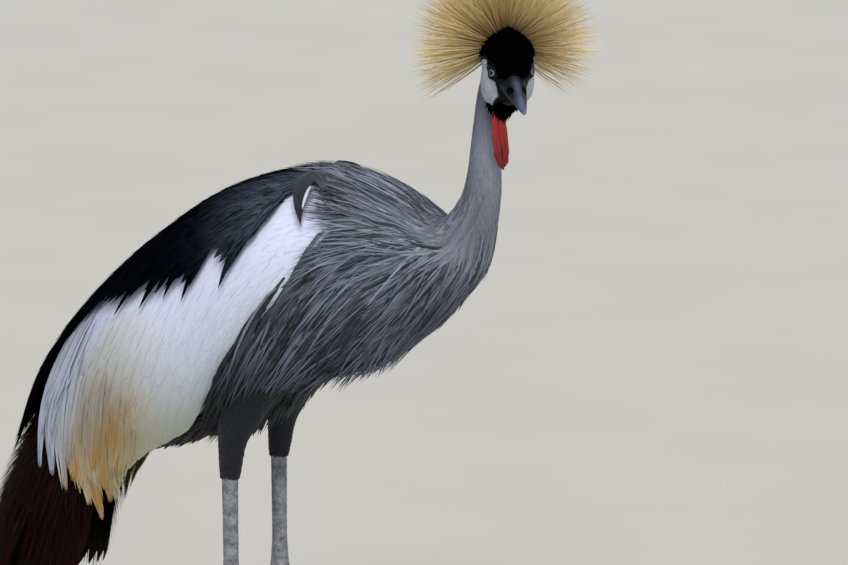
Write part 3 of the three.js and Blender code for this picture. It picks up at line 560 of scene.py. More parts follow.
def vanes_mesh(name, body, vane, bake, tone):
    """A joined mesh of tapered closed strips from their rings of points, with maps and colours."""
    count, rings, k = body.shape[:3]
    ring, step = np.meshgrid(np.arange(rings - 1), np.arange(k), indexing="ij")
    nxt = (step + 1) % k
    this, after = ring * k, (ring + 1) * k
    quads = np.stack([this + step, this + nxt, after + nxt, after + step], -1).reshape(-1, 4)
    if k == 3:
        ends = np.array([[2, 1, 0]]), np.array([[0, 1, 2]]) + (rings - 1) * k
    else:
        ends = (np.array([[5, 1, 0], [5, 2, 1], [5, 3, 2], [5, 4, 3]]),
                np.array([[0, 1, 5], [1, 2, 5], [2, 3, 5], [3, 4, 5]]) + (rings - 1) * k)
    caps = np.concatenate(ends)
    base = np.arange(count)[:, None, None] * rings * k
    quads = (quads[None] + base).reshape(-1)
    caps = (caps[None] + base).reshape(-1)
    made = bpy.data.meshes.new(name)
    made.vertices.add(count * rings * k)
    made.vertices.foreach_set("co", body.reshape(-1))
    corners = np.concatenate([quads, caps])
    made.loops.add(len(corners))
    made.loops.foreach_set("vertex_index", corners)
    sizes = np.concatenate([np.full(len(quads) // 4, 4), np.full(len(caps) // 3, 3)])
    made.polygons.add(len(sizes))
    made.polygons.foreach_set("loop_start", np.concatenate([[0], np.cumsum(sizes)[:-1]]))
    made.update(calc_edges=True)
    made.polygons.foreach_set("use_smooth", np.ones(len(sizes), bool))
    made.set_sharp_from_angle(angle=math.radians(75))
    for title, flat in (("vane", vane), ("OFBake", bake)):
        made.uv_layers.new(name=title).data.foreach_set("uv", flat.reshape(-1, 2)[corners].reshape(-1))
    paint(made, tone)
    holder = bpy.data.objects.new(name, made)
    scene.collection.objects.link(holder)
    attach(holder, "root")
    return holder


def spread(count, low, high, shift=0.0):
    """Even places over a rectangle, out of step with one another."""
    order = np.arange(1, count + 1)
    share = np.stack([order * 0.7548776662 + shift, order * 0.5698402910 + shift * 0.61], -1) % 1
    return np.array(low) + share * (np.array(high) - np.array(low))


SPINE_STEPS = np.arange(0, 19.01, 0.1)
SPINE_RUNS = np.diff(smooth_rows(STATIONS, SPINE_STEPS)[:, :2], axis=0)
SPINE_LENGTH = np.concatenate([[0], np.cumsum(np.linalg.norm(SPINE_RUNS, axis=1))])


def further(place, length, lean):
    """The place that lies a length (mm) further along the coat, leaning down from the spine by degrees."""
    s, a = place[:, 0], place[:, 1]
    run = np.interp(s, SPINE_STEPS, SPINE_LENGTH) + length * np.cos(np.radians(lean))
    new = np.interp(run, SPINE_LENGTH, SPINE_STEPS)
    rows = smooth_rows(STATIONS, (s + new) / 2)
    around = length * np.sin(np.radians(lean)) / (0.5 * (rows[:, 3] + rows[:, 4]))
    return np.stack([new, a + np.degrees(around)], -1)


def even_on_coat(count, low, high, shift=0.0):
    """Even places by area over a stretch of the coat, given as (station, angle) corners."""
    s = np.linspace(low[0], high[0], 60)
    rows = smooth_rows(STATIONS, s)
    area = np.gradient(np.interp(s, SPINE_STEPS, SPINE_LENGTH)) * (rows[:, 3] + rows[:, 4])
    share = spread(count, (0, 0), (1, 1), shift)
    total = np.cumsum(area)
    station = np.interp(share[:, 0] * total[-1], total, s)
    return np.stack([station, low[1] + share[:, 1] * (high[1] - low[1])], -1)


SLATE_BACK, SLATE_NECK, SLATE_FRONT = linear("#747a8c"), linear("#8d93a5"), linear("#a6acbb")
MANTLE, BREAST, BREAST_LOW = linear("#636a7c"), linear("#676d80"), linear("#4e5464")
FLANK, NIGHT = linear("#20232c"), linear("#040509")
# the white is painted lighter on top and darker low down, as light and shade
WHITE_LIT_TOP, WHITE_MID, WHITE_SHADED_LOW = linear("#d3dbf4"), linear("#cad2e4"), linear("#b7c2b9")
CREAM, STRAW = linear("#bbb795"), linear("#b38c46")
CHESTNUT, UMBER = linear("#230b09"), linear("#070303")


def grey_marks(s, a):
    """The slate of neck, mantle and breast, darker down the flank and behind."""
    a = np.abs(a)
    neck = mixed(mixed(SLATE_BACK[None], SLATE_NECK, (a - 20) / 60), SLATE_FRONT, (a - 90) / 70)
    side = mixed(mixed(SLATE_BACK[None], MANTLE, (a - 4) / 18), BREAST, (a - 62) / 34)
    side = mixed(side, BREAST_LOW, (a - 108) / 40)
    neck = neck * read([(0, 0.62), (1.5, 0.7), (3, 0.85), (4.5, 0.58), (6, 0.42), (8, 0.42)], s)[:, None]
    body = mixed(neck, side, (s - 5.8) / 2.2)
    low_side = mixed(BREAST_LOW[None], FLANK, (a - 60) / 60)
    body = mixed(body, low_side, (s - 9.6) / 1.4 * past(a, 46, 24))
    # a dark spot behind the folded wrist
    body = mixed(body, FLANK, 2.2 - np.hypot((s - 10.1) / 0.17, (a - 42) / 9))
    body = mixed(body, NIGHT, (s - 11.0) / 2.4)
    return mixed(body, NIGHT, (s - 10.2) / 0.9 * np.clip((60 - a) / 14, 0, 1))


def tones_at(marks, root, tip, spot, shaded_root=0.5, light_tip=0.0, middle=0.5):
    """Colours at the root, middle and tip of feathers, each a little lighter or darker than the next; a
    darker root is painted shade.
    """
    own = (1 + spot)[:, None]
    middle_at = root + (tip - root) * middle
    # painted shade at the root, under the feathers that lie over it
    low = marks(root[:, 0], root[:, 1]) * (1 - shaded_root) * own
    mid = marks(middle_at[:, 0], middle_at[:, 1]) * own
    high = marks(tip[:, 0], tip[:, 1]) * own * (1 + light_tip)
    return np.stack([low, mid, high], 1)


# Barbed vanes: keratin barbs set close on a shaft, matt, with a faint silky sheen along the barbs.
def vane_material(name, barbs, contrast, roughness, sheen, shaft=0.0, bump=0.25, gloss=0.28):
    """Feather keratin, with barbs leaving the shaft at a slant; contrast is how far their lines show."""
    made, tree, shader = material(name)
    tone = add(tree, "ShaderNodeAttribute", attribute_name="tone", attribute_type="GEOMETRY")
    place = add(tree, "ShaderNodeUVMap", uv_map="vane")
    parts = add(tree, "ShaderNodeSeparateXYZ", links={"Vector": place.outputs["UV"]})
    off = add(tree, "ShaderNodeMath", {1: 0.5}, {0: parts.outputs["X"]}, operation="SUBTRACT")
    out = add(tree, "ShaderNodeMath", links={0: off.outputs[0]}, operation="ABSOLUTE")
    slant = add(tree, "ShaderNodeMath", {1: 0.22}, {0: out.outputs[0]}, operation="MULTIPLY")
    run = add(tree, "ShaderNodeMath", links={0: parts.outputs["Y"], 1: slant.outputs[0]},
              operation="SUBTRACT")
    step = add(tree, "ShaderNodeMath", {1: barbs}, {0: run.outputs[0]}, operation="MULTIPLY")
    line = add(tree, "ShaderNodeTexNoise", {"Scale": 1.0, "Detail": 2.0, "Roughness": 0.6},
               {"W": step.outputs[0]}, noise_dimensions="1D")
    shade = add(tree, "ShaderNodeMapRange",
                {"From Min": 0.3, "From Max": 0.7, "To Min": 1 - contrast, "To Max": 1 + contrast},
                {"Value": line.outputs["Fac"]})
    lined = add(tree, "ShaderNodeVectorMath", links={0: tone.outputs["Color"], 1: shade.outputs["Result"]},
                operation="MULTIPLY")
    if shaft:
        near = add(tree, "ShaderNodeMapRange",
                   {"From Min": 0.0, "From Max": 0.05, "To Min": 1 + shaft, "To Max": 1.0},
                   {"Value": out.outputs[0]})
        lined = add(tree, "ShaderNodeVectorMath",
                    links={0: lined.outputs["Vector"], 1: near.outputs["Result"]},
                    operation="MULTIPLY")
    raised = add(tree, "ShaderNodeBump", {"Strength": bump, "Distance": 0.0006},
                 {"Height": line.outputs["Fac"]})
    settle(tree, shader, {"Roughness": roughness, "Specular IOR Level": gloss, "Sheen Weight": sheen,
                          "Sheen Roughness": 0.45},
           {"Base Color": lined.outputs["Vector"], "Normal": raised.outputs["Normal"]})
    return made


loose_plume = vane_material("loose_plume_keratin", 38, 0.12, 0.6, 0.1)
dark_vane = vane_material("black_vane_keratin", 60, 0.22, 0.7, 0.0, gloss=0.0)
white_vane = vane_material("white_vane_keratin", 70, 0.03, 0.7, 0.05, 0.0, 0.1)
quill_vane = vane_material("chestnut_vane_keratin", 90, 0.35, 0.5, 0.0, 0.5, gloss=0.05)


def finish(piece, stuff):
    """Gives a piece its only material."""
    piece.data.materials.clear()
    piece.data.materials.append(stuff)


def side_feathers(name, side, root, tip, deep, half, tones, stuff, slot, **more):
    """Feathers on one side of the coat, from places that are given as on the right side."""
    piece = feathers(f"{name}_{'right' if side > 0 else 'left'}", coat, root * (1, side), tip * (1, side),
                     deep, half, tones, **more)
    finish(piece, stuff)
    return piece


# Neck: short dense grey feathers, pale in front, laid flat and growing longer down to the breast.
n = 8800
root = even_on_coat(n, (0.0, -180), (7.4, 180))
s = root[:, 0]
length = read([(0, 11), (3, 15), (5, 22), (6.2, 34), (7.2, 52)], s) * chance.uniform(0.85, 1.2, n)
tip = further(root, length, chance.normal(0, 3.5, n))
half = read([(0, 0.8), (5, 1.2), (7.2, 1.8)], s) * chance.uniform(0.8, 1.15, n)
deep = np.stack([read([(0, 2.6), (6, 4), (7.2, 8)], s), read([(0, 1.2), (6, 1.6), (7.2, 4)], s),
                 chance.uniform(0.0, 0.7, n)], -1)
tones = tones_at(grey_marks, root, tip, chance.normal(0, 0.05, n), 0.12, 0.06)
neck_feathers = feathers("neck_feathers", coat, root, tip, deep, half, tones, rings=4, section=THIN,
                         bend=chance.normal(0, 0.6, n))
finish(neck_feathers, loose_plume)


# Mantle and breast: long narrow plumes that hang back over the shoulder, light over dark, with the
# lower layers painted darker as shade. They end on a line from the shoulder down the front of the
# white wing to the belly: (angle, station).
PLUME_ENDS = [(0, 10.9), (14, 10.6), (19, 10.3), (26, 10.3), (52, 10.28), (58, 10.15), (64, 10.14),
              (70, 10.28), (76, 10.48), (84, 10.68), (95, 10.85), (102, 11.15), (114, 11.7), (122, 12.15),
              (128, 12.65), (136, 13.2), (150, 13.5), (166, 13.8), (180, 13.6)]
# the angle that none of them rises above, along the white: (station, angle)
PLUME_STOP = [(9.4, 0), (9.9, 50), (10.05, 62), (10.25, 67), (10.5, 75), (10.8, 84), (11.1, 93), (11.45, 100),
              (11.95, 112), (12.4, 120), (12.85, 126), (13.25, 134)]


def waves(place, scale, turn=0.0):
    """A slow swell over the coat between -1 and 1, by which neighbouring feathers lie alike."""
    s, a = place[:, 0] * scale + turn, place[:, 1] * scale / 22 - turn
    return (np.sin(s * 2.1 + 1.7 * np.sin(a * 1.3)) + np.sin(a * 2.7 + 1.3 * np.sin(s * 1.7 + 2)) +
            np.sin(s * 3.9 - a * 3.1 + 1)) / 3


def breast_lean(s, a):
    """How far the plumes lean down from the spine, in degrees: more, the further back they end."""
    early = read([(0, 0), (35, -16), (60, -12), (85, 2), (110, 18), (140, 24), (165, 12), (180, 0)], a)
    late = read([(0, 0), (35, -4), (60, 14), (85, 26), (110, 32), (140, 30), (165, 14), (180, 0)], a)
    return early + (late - early) * past(s, 9.0, 2.0)


def plume_tract(name, side, count, shift, half, laid_share, bright, wide_ends, keep=None, longer=1.0, out=0.0,
                ahead=0.0):
    """Long plumes of one side; out lifts their tips, and ahead takes their tones from further forward."""
    tip = even_on_coat(count, (7.3, 0), (13.9, 180), shift)
    chosen = tip[:, 0] < read(PLUME_ENDS, tip[:, 1]) + chance.normal(0, 0.06, count) + wide_ends
    if keep is not None:
        chosen &= keep(tip)
    tip = tip[chosen]
    s, a = tip.T
    n = len(tip)
    swell, other = waves(tip, 1.6, side), waves(tip, 2.3, 2 + side)
    length = read([(7.3, 40), (8.2, 72), (9.2, 104), (10.5, 132), (12, 118), (14, 92)], s)
    around = read([(0, 0.8), (30, 0.95), (70, 1.05), (130, 1.0), (180, 0.75)], a)
    length *= around * chance.uniform(0.75, 1.2, n) * longer
    root = further(tip, -length, breast_lean(s, a) + 9 * swell + chance.normal(0, 5, n))
    root[:, 1] = np.clip(root[:, 1], -8, 188)
    layer = chance.uniform(0, 1, n)
    start_depth = read([(5.5, 2.5), (7, 5), (8.5, 9), (10, 13), (12, 16)], root[:, 0])
    laid = read([(6.5, 2.5), (8, 6), (10, 9), (12, 11)], root[:, 0]) * (laid_share + (1 - laid_share) * layer)
    deep = np.stack([start_depth + 3, laid, chance.uniform(-1.8, 2.5, n) + 2.5 * (layer > 0.75) - out], -1)
    # the deeper a plume lies, the darker it is painted, as shade under those over it
    spot = bright + 0.32 * other + chance.normal(0, 0.28, n) - 0.4 * layer**2
    tones = tones_at(grey_marks, root - (ahead, 0), tip - (ahead, 0), np.maximum(spot, -0.85), 0.6, 0.12)
    tones = tones * (1 - 0.65 * past(s, 12.8, 0.6))[:, None, None]
    # those that end below the white stay before its front edge
    bound = (s > 10.4) & (a > read(PLUME_STOP, s) - 3)
    stray = np.where(bound, chance.uniform(-4, 1, n), -400)[:, None]
    side_feathers(name, side, root, tip, deep, half * chance.uniform(0.65, 1.25, n), tones, loose_plume,
                  "plumage_slate", rings=7, roll=chance.normal(0, 12, n),
                  bend=side * (2.0 * swell + chance.normal(0.8, 2.2, n)),
                  lift=np.abs(chance.normal(0, 1.6, n)),
                  held=lambda p, q: side * np.maximum(side * q, read(PLUME_STOP, p) + stray))


for side in (1, -1):
    # the under layer is painted darker, as shade under the plumes that lie over it
    plume_tract("under_plumes", side, 2300, 0.2, 3.6, 0.8, -0.65, -0.15)
    plume_tract("mantle_plumes", side, 3600, 0.6, 1.9, 0.25, 0.05, 0.0)
    plume_tract("loose_strands", side, 1300, 0.9, 2.1, 0.0, 0.3, 0.05, longer=1.3, ahead=0.9)
    # strands that hang from the flank over the root of the thigh
    plume_tract("flank_strands", side, 1700, 0.35, 1.6, 0.0, 0.5, 0.1,
                keep=lambda p: (p[:, 0] > 11.7) & (p[:, 1] > 122) & (p[:, 1] < 172),
                longer=1.1, out=4.5, ahead=1.6)

# A loose tuft of long plumes hangs free below the breast.
for side in (1, -1):
    n = 210
    share = chance.uniform(0, 1, n)
    root = np.stack([8.2 + 1.6 * chance.uniform(0, 1, n), 122 + 40 * share], -1)
    tip = np.stack([10.1 + 1.2 * chance.uniform(0, 1, n) ** 0.8, 162 + 14 * share], -1)
    deep = np.stack([np.full(n, 8.0), chance.uniform(-1, 4, n), 2 - 21 * chance.uniform(0, 1, n) ** 1.3], -1)
    lit = np.stack([root[:, 0] + 1.0, tip[:, 1] - 20], -1)
    tones = tones_at(grey_marks, root, lit, chance.normal(0.1, 0.25, n), 0.5, 0.1)
    side_feathers("breast_tuft", side, root, tip, deep, chance.uniform(1.3, 2.4, n), tones, loose_plume,
                  "plumage_slate", rings=9, roll=chance.normal(0, 14, n), bend=side * chance.normal(4, 3, n))


# Belly, flank and under the tail: dense dark contour feathers that close the body beneath.
def from_back(angle):
    """The angle between the middle of the back and a place, whichever side it is on."""
    return np.minimum(angle, 360 - angle)


root = even_on_coat(3000, (9.6, 84), (16.2, 276), 0.4)
root = root[(from_back(root[:, 1]) > 96) | (root[:, 0] > 10)]
n = len(root)
half_turn = np.where(root[:, 1] > 180, -1, 1)
tip = further(root, chance.uniform(48, 78, n), half_turn * chance.normal(4, 7, n))
base = flesh_depth(root[:, 0], root[:, 1])
end = flesh_depth(np.minimum(tip[:, 0], 16.5), tip[:, 1])
# those underneath hang lower behind the thighs, and lower still between them
under = past(from_back(tip[:, 1]), 150, 14) * (from_back(root[:, 1]) > 148)
behind = np.clip(1.15 - np.abs(tip[:, 0] - 14.3) / 2.0, 0, 1) * under
between = np.clip(1.5 - np.abs(tip[:, 0] - 12.7) / 0.8, 0, 1) * under * chance.uniform(0.3, 1, n)
laid = base * (0.9 - 0.35 * behind) - chance.uniform(1, 4, n)
tip_depth = end * (0.82 - 0.58 * behind) - chance.uniform(2, 6, n) - 27 * between
deep = np.stack([base + 4, laid, tip_depth], -1)
tones = tones_at(lambda s, a: grey_marks(s, from_back(a)), root, tip, chance.normal(0, 0.15, n), 0.3, 0.1)
tones = tones * (1 - 0.75 * past(tip[:, 0], 12.2, 0.8))[:, None, None]
belly = feathers("belly_feathers", coat, root, tip, deep, chance.uniform(4.5, 7, n), tones, rings=6,
                 outline=VANE, roll=chance.normal(0, 8, n),
                 patch=np.stack([root[:, 0] / 20, root[:, 1] / 360 % 1], -1))
finish(belly, loose_plume)

# Wings
# The folded wings lie along the flanks: white coverts in tiers over the whole outer face, straw-gold
# plumes hanging from their hind part, and black shoulder feathers over the ridge of the back.
# the lower edge of the black, with its teeth, and the front and lower edge of the white: (station, angle)
BLACK_EDGE = [(9.4, 14), (10.3, 16), (10.45, 26), (10.65, 31), (10.8, 41), (11.0, 50), (11.2, 61),
              (11.45, 67), (11.6, 69), (11.75, 74), (11.85, 66), (11.92, 60), (12.1, 62), (12.3, 65),
              (12.5, 71), (12.62, 66), (12.95, 66), (13.25, 62), (13.4, 57), (13.8, 54), (14.35, 42),
              (15.0, 27), (15.3, 31), (15.75, 41), (16.4, 48), (17.4, 44)]
WHITE_FRONT = [(9.9, 57), (10.05, 64), (10.25, 69), (10.5, 77), (10.8, 86), (11.1, 95), (11.45, 102),
               (11.95, 114), (12.4, 122), (12.85, 128), (13.25, 136), (14.1, 154), (15.1, 164), (16.2, 170),
               (17.2, 168)]
# where the gold begins, and how far back the coverts and the strands over them reach: (angle, station)
GOLD_START = [(78, 15.2), (84, 14.6), (97, 14.15), (116, 13.95), (136, 14.1), (150, 14.8), (160, 15.4),
              (172, 16.2)]
COVERTS_END = [(30, 15.1), (60, 15.2), (90, 15.4), (110, 15.8), (130, 16.1), (150, 16.3), (170, 16.0)]
STRANDS_END = [(30, 15.2), (60, 15.35), (90, 15.6), (110, 16.0), (130, 16.3), (150, 16.5), (170, 16.2)]


def wing_marks(s, a):
    """White, painted lighter on top and darker low down as light and shade, creamy towards the hind part,
    straw gold in its lower corner, and darkened in its hind upper part as painted shade.
    """
    a = np.abs(a)
    white = mixed(mixed(WHITE_LIT_TOP[None], WHITE_MID, (a - 60) / 40), WHITE_SHADED_LOW, (a - 110) / 40)
    cream = past(s, 13.2, 1.0) * past(a, 50, 20) * np.clip((16.4 - s) / 0.8 + (a - 100) / 20, 0, 1)
    gold = past(s, read(GOLD_START, a), 0.8) * past(a - 80 - (s - 14.8) * 12, 0, 18)
    streaks = 0.72 + 0.28 * np.sin(a * 0.17 + 1.1 * np.sin(s * 2.3)) + 0.1 * np.sin(a * 0.9 + s)
    # painted shade that darkens the hind upper part of the white
    shade = 1 - 0.42 * past(s, 13.4, 1.6) * np.clip((128 - a) / 30, 0, 1)
    return mixed(mixed(white, CREAM, cream * 0.6), STRAW, gold * np.clip(streaks, 0.3, 1)) * shade[:, None]


def tier(side, name, count, low, high, keep, length, lean, depth, half, marks, stuff, slot, rings, outline,
         section, loose=1.0, light=0.0, spot=0.03, shaded_root=0.2, edge=None):
    """One tier of a wing: feathers whose tips are spread over part of the coat, at a lean from the spine."""
    tip = even_on_coat(count, low, high, chance.uniform())
    # the left thigh stands further out, so the left wing ends a little higher
    tip = tip[keep(tip) & (tip[:, 1] < 180 - (26 if side < 0 else 0))]
    n = len(tip)
    s, a = tip.T
    slope = lean(s, a) + chance.normal(0, 3, n) * loose
    root = further(tip, -length(s, a) * chance.uniform(0.85, 1.15, n), slope)
    tones = tones_at(marks, root, tip, chance.normal(0, spot, n), shaded_root, light)
    deep = np.array(depth) + chance.normal(0, 0.25, (n, 3)) * loose
    stray = chance.uniform(-4, 1, (n, 1))
    held = None if edge is None else lambda p, q: side * np.minimum(side * q, read(edge, p) + stray)
    side_feathers(name, side, root, tip, deep, half * chance.uniform(0.8, 1.15, n), tones, stuff, slot,
                  rings=rings, outline=outline, section=section, roll=chance.normal(0, 2.5, n) * loose,
                  bend=side * chance.normal(0.6, 1.2, n) * loose, held=held)


def in_white(above, last):
    """Tips in the white: behind its front and the folded wrist, and at most some degrees into the black."""
    wrist = [(27, 10.5), (38, 10.42), (49, 10.33), (58, 10.22), (61, 10.0), (70, 9.9)]

    def keep(p):
        s, a = p.T
        low_enough = (a < read(WHITE_FRONT, s)) & (a > read(BLACK_EDGE, s) - above)
        return (s > read(wrist, a)) & low_enough & (s < read(last, a))
    return keep


def in_black(below):
    """Tips over the back, down to the black's lower edge and some degrees below it."""
    return lambda p: p[:, 1] < read(BLACK_EDGE, p[:, 0]) + below


def along_body(*pairs):
    """A length or a lean that changes along the body, from pairs of station and value."""
    return lambda s, a: read(pairs, s)


def shoulder_lean(s, a):
    """The black feathers lean down more on the side of the back than on its ridge, and less behind."""
    on_side = read([(0, 2), (30, 18), (60, 42), (78, 50)], a)
    return on_side * read([(10, 1), (13, 0.9), (15, 0.5), (17, 0.4)], s)


def black_with_painted_sheen(s, a):
    """Black, with a painted bluish sheen highlight towards the front of the shoulder."""
    a = np.abs(a)
    return mixed(NIGHT[None], linear("#39424f"), (12.3 - s) / 2.0 * past(a, 4, 16))


# where the points of the loose locks and of the black teeth end: (station, angle)
STREAMER_TIPS = [(16.8, 83), (16.35, 75), (16.0, 66), (16.45, 90), (16.7, 98), (16.2, 104), (16.75, 113),
                 (16.5, 120), (16.6, 127), (16.1, 84), (15.8, 74), (16.3, 110)]
STRAW_TIPS = [(16.75, 140), (16.5, 133), (16.55, 147), (17.0, 160), (16.85, 154), (16.6, 163), (16.6, 172),
              (16.3, 140), (16.3, 152), (16.2, 166), (15.9, 158), (16.0, 130), (15.8, 144)]
TEETH = np.array([(11.9, 79.5), (11.86, 77.5), (11.8, 76), (12.58, 75), (12.52, 73), (12.4, 71),
                  (13.38, 64.5), (13.3, 63), (11.72, 74), (12.9, 68), (13.9, 57)])

for side in (1, -1):
    # small, middle and long white coverts
    tier(side, "white_coverts", 1350, (10.0, 0), (16.6, 172), in_white(30, COVERTS_END),
         along_body((10, 46), (11.5, 80), (13, 105), (16.6, 120)), along_body((10, 26), (11, 36), (16.6, 40)),
         (17, 10.8, 9.3), 9.0, wing_marks, white_vane, "plumage_white", 8, VANE, FLAT, 0.2, 0.0, 0.012, 0.02)
    # silky strands over them, which draw the long faint streaks of the white
    tier(side, "white_strands", 620, (10.0, 14), (16.8, 172), in_white(14, STRANDS_END),
         along_body((10, 46), (11.5, 90), (13, 120), (16.6, 130)), along_body((10, 28), (11, 37), (16.6, 42)),
         (16, 10.2, 8.8), 3.4, wing_marks, white_vane, "plumage_white", 8, PLUME, SHEET, 0.4, 0.0, 0.015,
         0.03)
    # loose white and straw streamers, in locks that end in points over the dark quills
    for name, count, back, half, locks in (("white_streamers", 15, 128, 2.6, STREAMER_TIPS),
                                           ("straw_plumes", 26, 120, 2.5, STRAW_TIPS)):
        ends = np.repeat(np.array(locks, float), count, axis=0)
        n = len(ends)
        ends[:, 1] -= (14 if side < 0 else 0) * (ends[:, 1] > 140)
        fray = chance.normal(0, 1, n)
        tip = ends + np.stack([-np.abs(chance.normal(0, 0.12, n)), 1.6 * fray], -1)
        root = further(tip, -back * chance.uniform(0.8, 1.1, n), np.full(n, 38.0))
        root[:, 1] += chance.normal(0, 4, n)
        tones = tones_at(wing_marks, root, tip, chance.normal(0, 0.06, n), 0.25, 0.05)
        side_feathers(name, side, root, tip, np.array([16, 8.4, 4.0]) + chance.normal(0, 0.6, (n, 3)),
                      half * chance.uniform(0.6, 1.1, n), tones, white_vane, "plumage_white", rings=10,
                      section=THIN, roll=chance.normal(0, 6, n), bend=side * chance.normal(2.5, 1.5, n))
    # black shoulder feathers over the ridge of the back
    tier(side, "shoulder_feathers", 900, (10.3, 0), (17.2, 80), in_black(-1.0),
         along_body((10, 42), (11.5, 78), (13, 95), (17, 110)), shoulder_lean, (15, 4, 0.5), 6.5,
         black_with_painted_sheen, dark_vane, "plumage_black", 10, VANE, FLAT, 0.8, 0.3, 0.3, edge=BLACK_EDGE)
    # fine dark ends that break their lower edge
    tier(side, "shoulder_strands", 900, (10.3, 0), (17.2, 84), in_black(1.5),
         along_body((10, 42), (11.5, 78), (13, 90), (17, 100)), shoulder_lean, (15, 3.2, -0.4), 1.7,
         black_with_painted_sheen, dark_vane, "plumage_black", 10, PLUME, THIN, 1.0, 0.6, 0.5, edge=BLACK_EDGE)
    # pointed ends that stand out below the edge as teeth
    root = further(TEETH, -np.full(len(TEETH), 62.0), read([(56, 30), (80, 50)], TEETH[:, 1]))
    tones = tones_at(black_with_painted_sheen, root, TEETH, chance.normal(0, 0.2, len(TEETH)), 0.2, 0.4)
    side_feathers("shoulder_points", side, root, TEETH, (14, 3.5, 3.5), 4.2, tones, dark_vane,
                  "plumage_black", rings=8, section=BROAD)


# Quills: long stiff secondaries and primaries, near black with chestnut barbs, hanging past the tail.
def quill_marks(s, a):
    """Near black, with bands of chestnut along and across the quills."""
    a = np.abs(a)
    return mixed(UMBER[None], CHESTNUT, 0.35 + 0.5 * np.sin(a * 0.9 + s * 2.2))


def in_fan(p):
    """Tips within the fan of the quills."""
    s, a = p.T
    short_enough = s < read([(8, 18.9), (80, 19.0), (150, 18.3)], a)
    return short_enough & (a < read([(16.9, 148), (18.2, 140), (19, 120)], s))


for side in (1, -1):
    fan = np.linspace(0, 1, 13)
    root = np.stack([np.full(13, 14.7), 16 + 128 * fan], -1)
    tip = np.stack([np.interp(fan, [0, 0.5, 1], [18.9, 19.0, 18.2]), 14 + 124 * fan**1.02], -1)
    tones = tones_at(quill_marks, root, tip, chance.normal(0, 0.2, 13), 0.3, 0.2)
    deep = np.stack([np.full(13, 27.0), np.full(13, 21.0), chance.uniform(2, 5, 13)], -1)
    secondaries = side_feathers("secondaries", side, root, tip, deep, 12.5, tones, quill_vane,
                                "plumage_chestnut", rings=16, outline=QUILL, section=BROAD, roll=-side * 4)
    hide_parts("flight_right" if side > 0 else "flight_left")
    fan = np.linspace(0, 1, 5)
    root = np.stack([np.full(5, 14.75), 66 + 60 * fan], -1)
    tip = np.stack([18.3 - 0.5 * fan, 78 + 50 * fan], -1)
    tones = tones_at(quill_marks, root, tip, chance.normal(0, 0.2, 5), 0.3, 0.2)
    side_feathers("primaries", side, root, tip, (28, 25, 17), 10, tones, quill_vane, "plumage_chestnut",
                  rings=14, outline=QUILL, section=BROAD)
    # loose chestnut barbs over them
    tier(side, "chestnut_barbs", 1100, (16.9, 4), (19.0, 150), in_fan, along_body((16.9, 66), (19, 130)),
         along_body((16.9, 6), (19, 6)), (22, 17, 1), 1.4, quill_marks, quill_vane, "plumage_chestnut", 7,
         PLUME, THIN, 1.4, 0.3, 0.35)

# The folded wrist: small dark slate feathers that curl over the shoulder and hang down in a point,
# with a white streak along them.
# a degree round the coat and a station along it, in mm, near the wrist
DEGREE, STATION = 1.9, 58


def along_path(path, side, wide_at):
    """A surface for feathers along a path of (station, angle) places; they keep their distance from it."""
    knots = np.linspace(0, 1, len(path))
    path = np.array(path, float)

    def at(p, q, depth):
        p, q = np.broadcast_arrays(p, q)
        here, ahead, behind = [[np.interp(np.clip(p + step, 0, 1), knots, path[:, k]) for k in (0, 1)]
                               for step in (0, 0.06, -0.06)]
        run, fall = (ahead[0] - behind[0]) * STATION, (ahead[1] - behind[1]) * DEGREE
        size = np.hypot(run, fall)
        off = q * read(wide_at, p)
        place, angle = here[0] + off * fall / size / STATION, here[1] - off * run / size / DEGREE
        return coat(place, side * angle, depth)
    return at


HOOK = [(9.7, 34), (9.8, 28), (9.9, 23), (10.05, 20), (10.2, 19.5), (10.32, 24), (10.37, 31), (10.36, 40),
        (10.3, 50), (10.22, 60)]
HOOK_WIDTH = [(0, 0.75), (0.3, 0.85), (0.6, 1.25), (0.8, 0.9), (1, 0.2)]
for side in (1, -1):
    n = 230
    off = chance.uniform(0, 1, n) ** 0.7
    root = np.stack([chance.uniform(0, 0.25, n), -13.5 * off], -1)
    reach = np.clip(chance.uniform(0.72, 1.06, n) - 0.12 * off, 0, 1)
    tip = np.stack([reach, -13.5 * off + chance.normal(0, 0.6, n)], -1)
    laid = -3.0 - 4 * off * (1 - off) + chance.uniform(-0.5, 1.0, n)
    deep = np.stack([np.full(n, 6.0), laid, -2.2 + chance.uniform(-1.0, 0.8, n)], -1)
    shade = chance.uniform(0.6, 1.5, (n, 1))
    tones = np.stack([linear(code) * shade for code in ("#3a4354", "#262c39", "#0e1117")], 1)
    hook = feathers(f"wrist_tuft_{'right' if side > 0 else 'left'}", along_path(HOOK, side, HOOK_WIDTH), root,
                    tip, deep, chance.uniform(1.2, 2.2, n), tones, rings=12, section=THIN,
                    roll=chance.normal(0, 6, n),
                    patch=np.stack([10.0 / 20 + root[:, 0] / 20, np.full(n, 30 * side / 360 + 0.5)], -1))
    finish(hook, loose_plume)
    n = 9
    root = np.stack([10.03 + chance.normal(0, 0.008, n), 33 + chance.normal(0, 1.0, n)], -1)
    tip = np.stack([10.16 + chance.normal(0, 0.008, n), 51.5 - chance.uniform(0, 5, n)], -1)
    tones = np.stack([WHITE_MID * share * np.ones((n, 1)) for share in (0.5, 0.9, 0.8)], 1)
    side_feathers("wrist_streak", side, root, tip, (0, -6.4, -5.4), 1.1, tones, white_vane, "plumage_white",
                  rings=7)

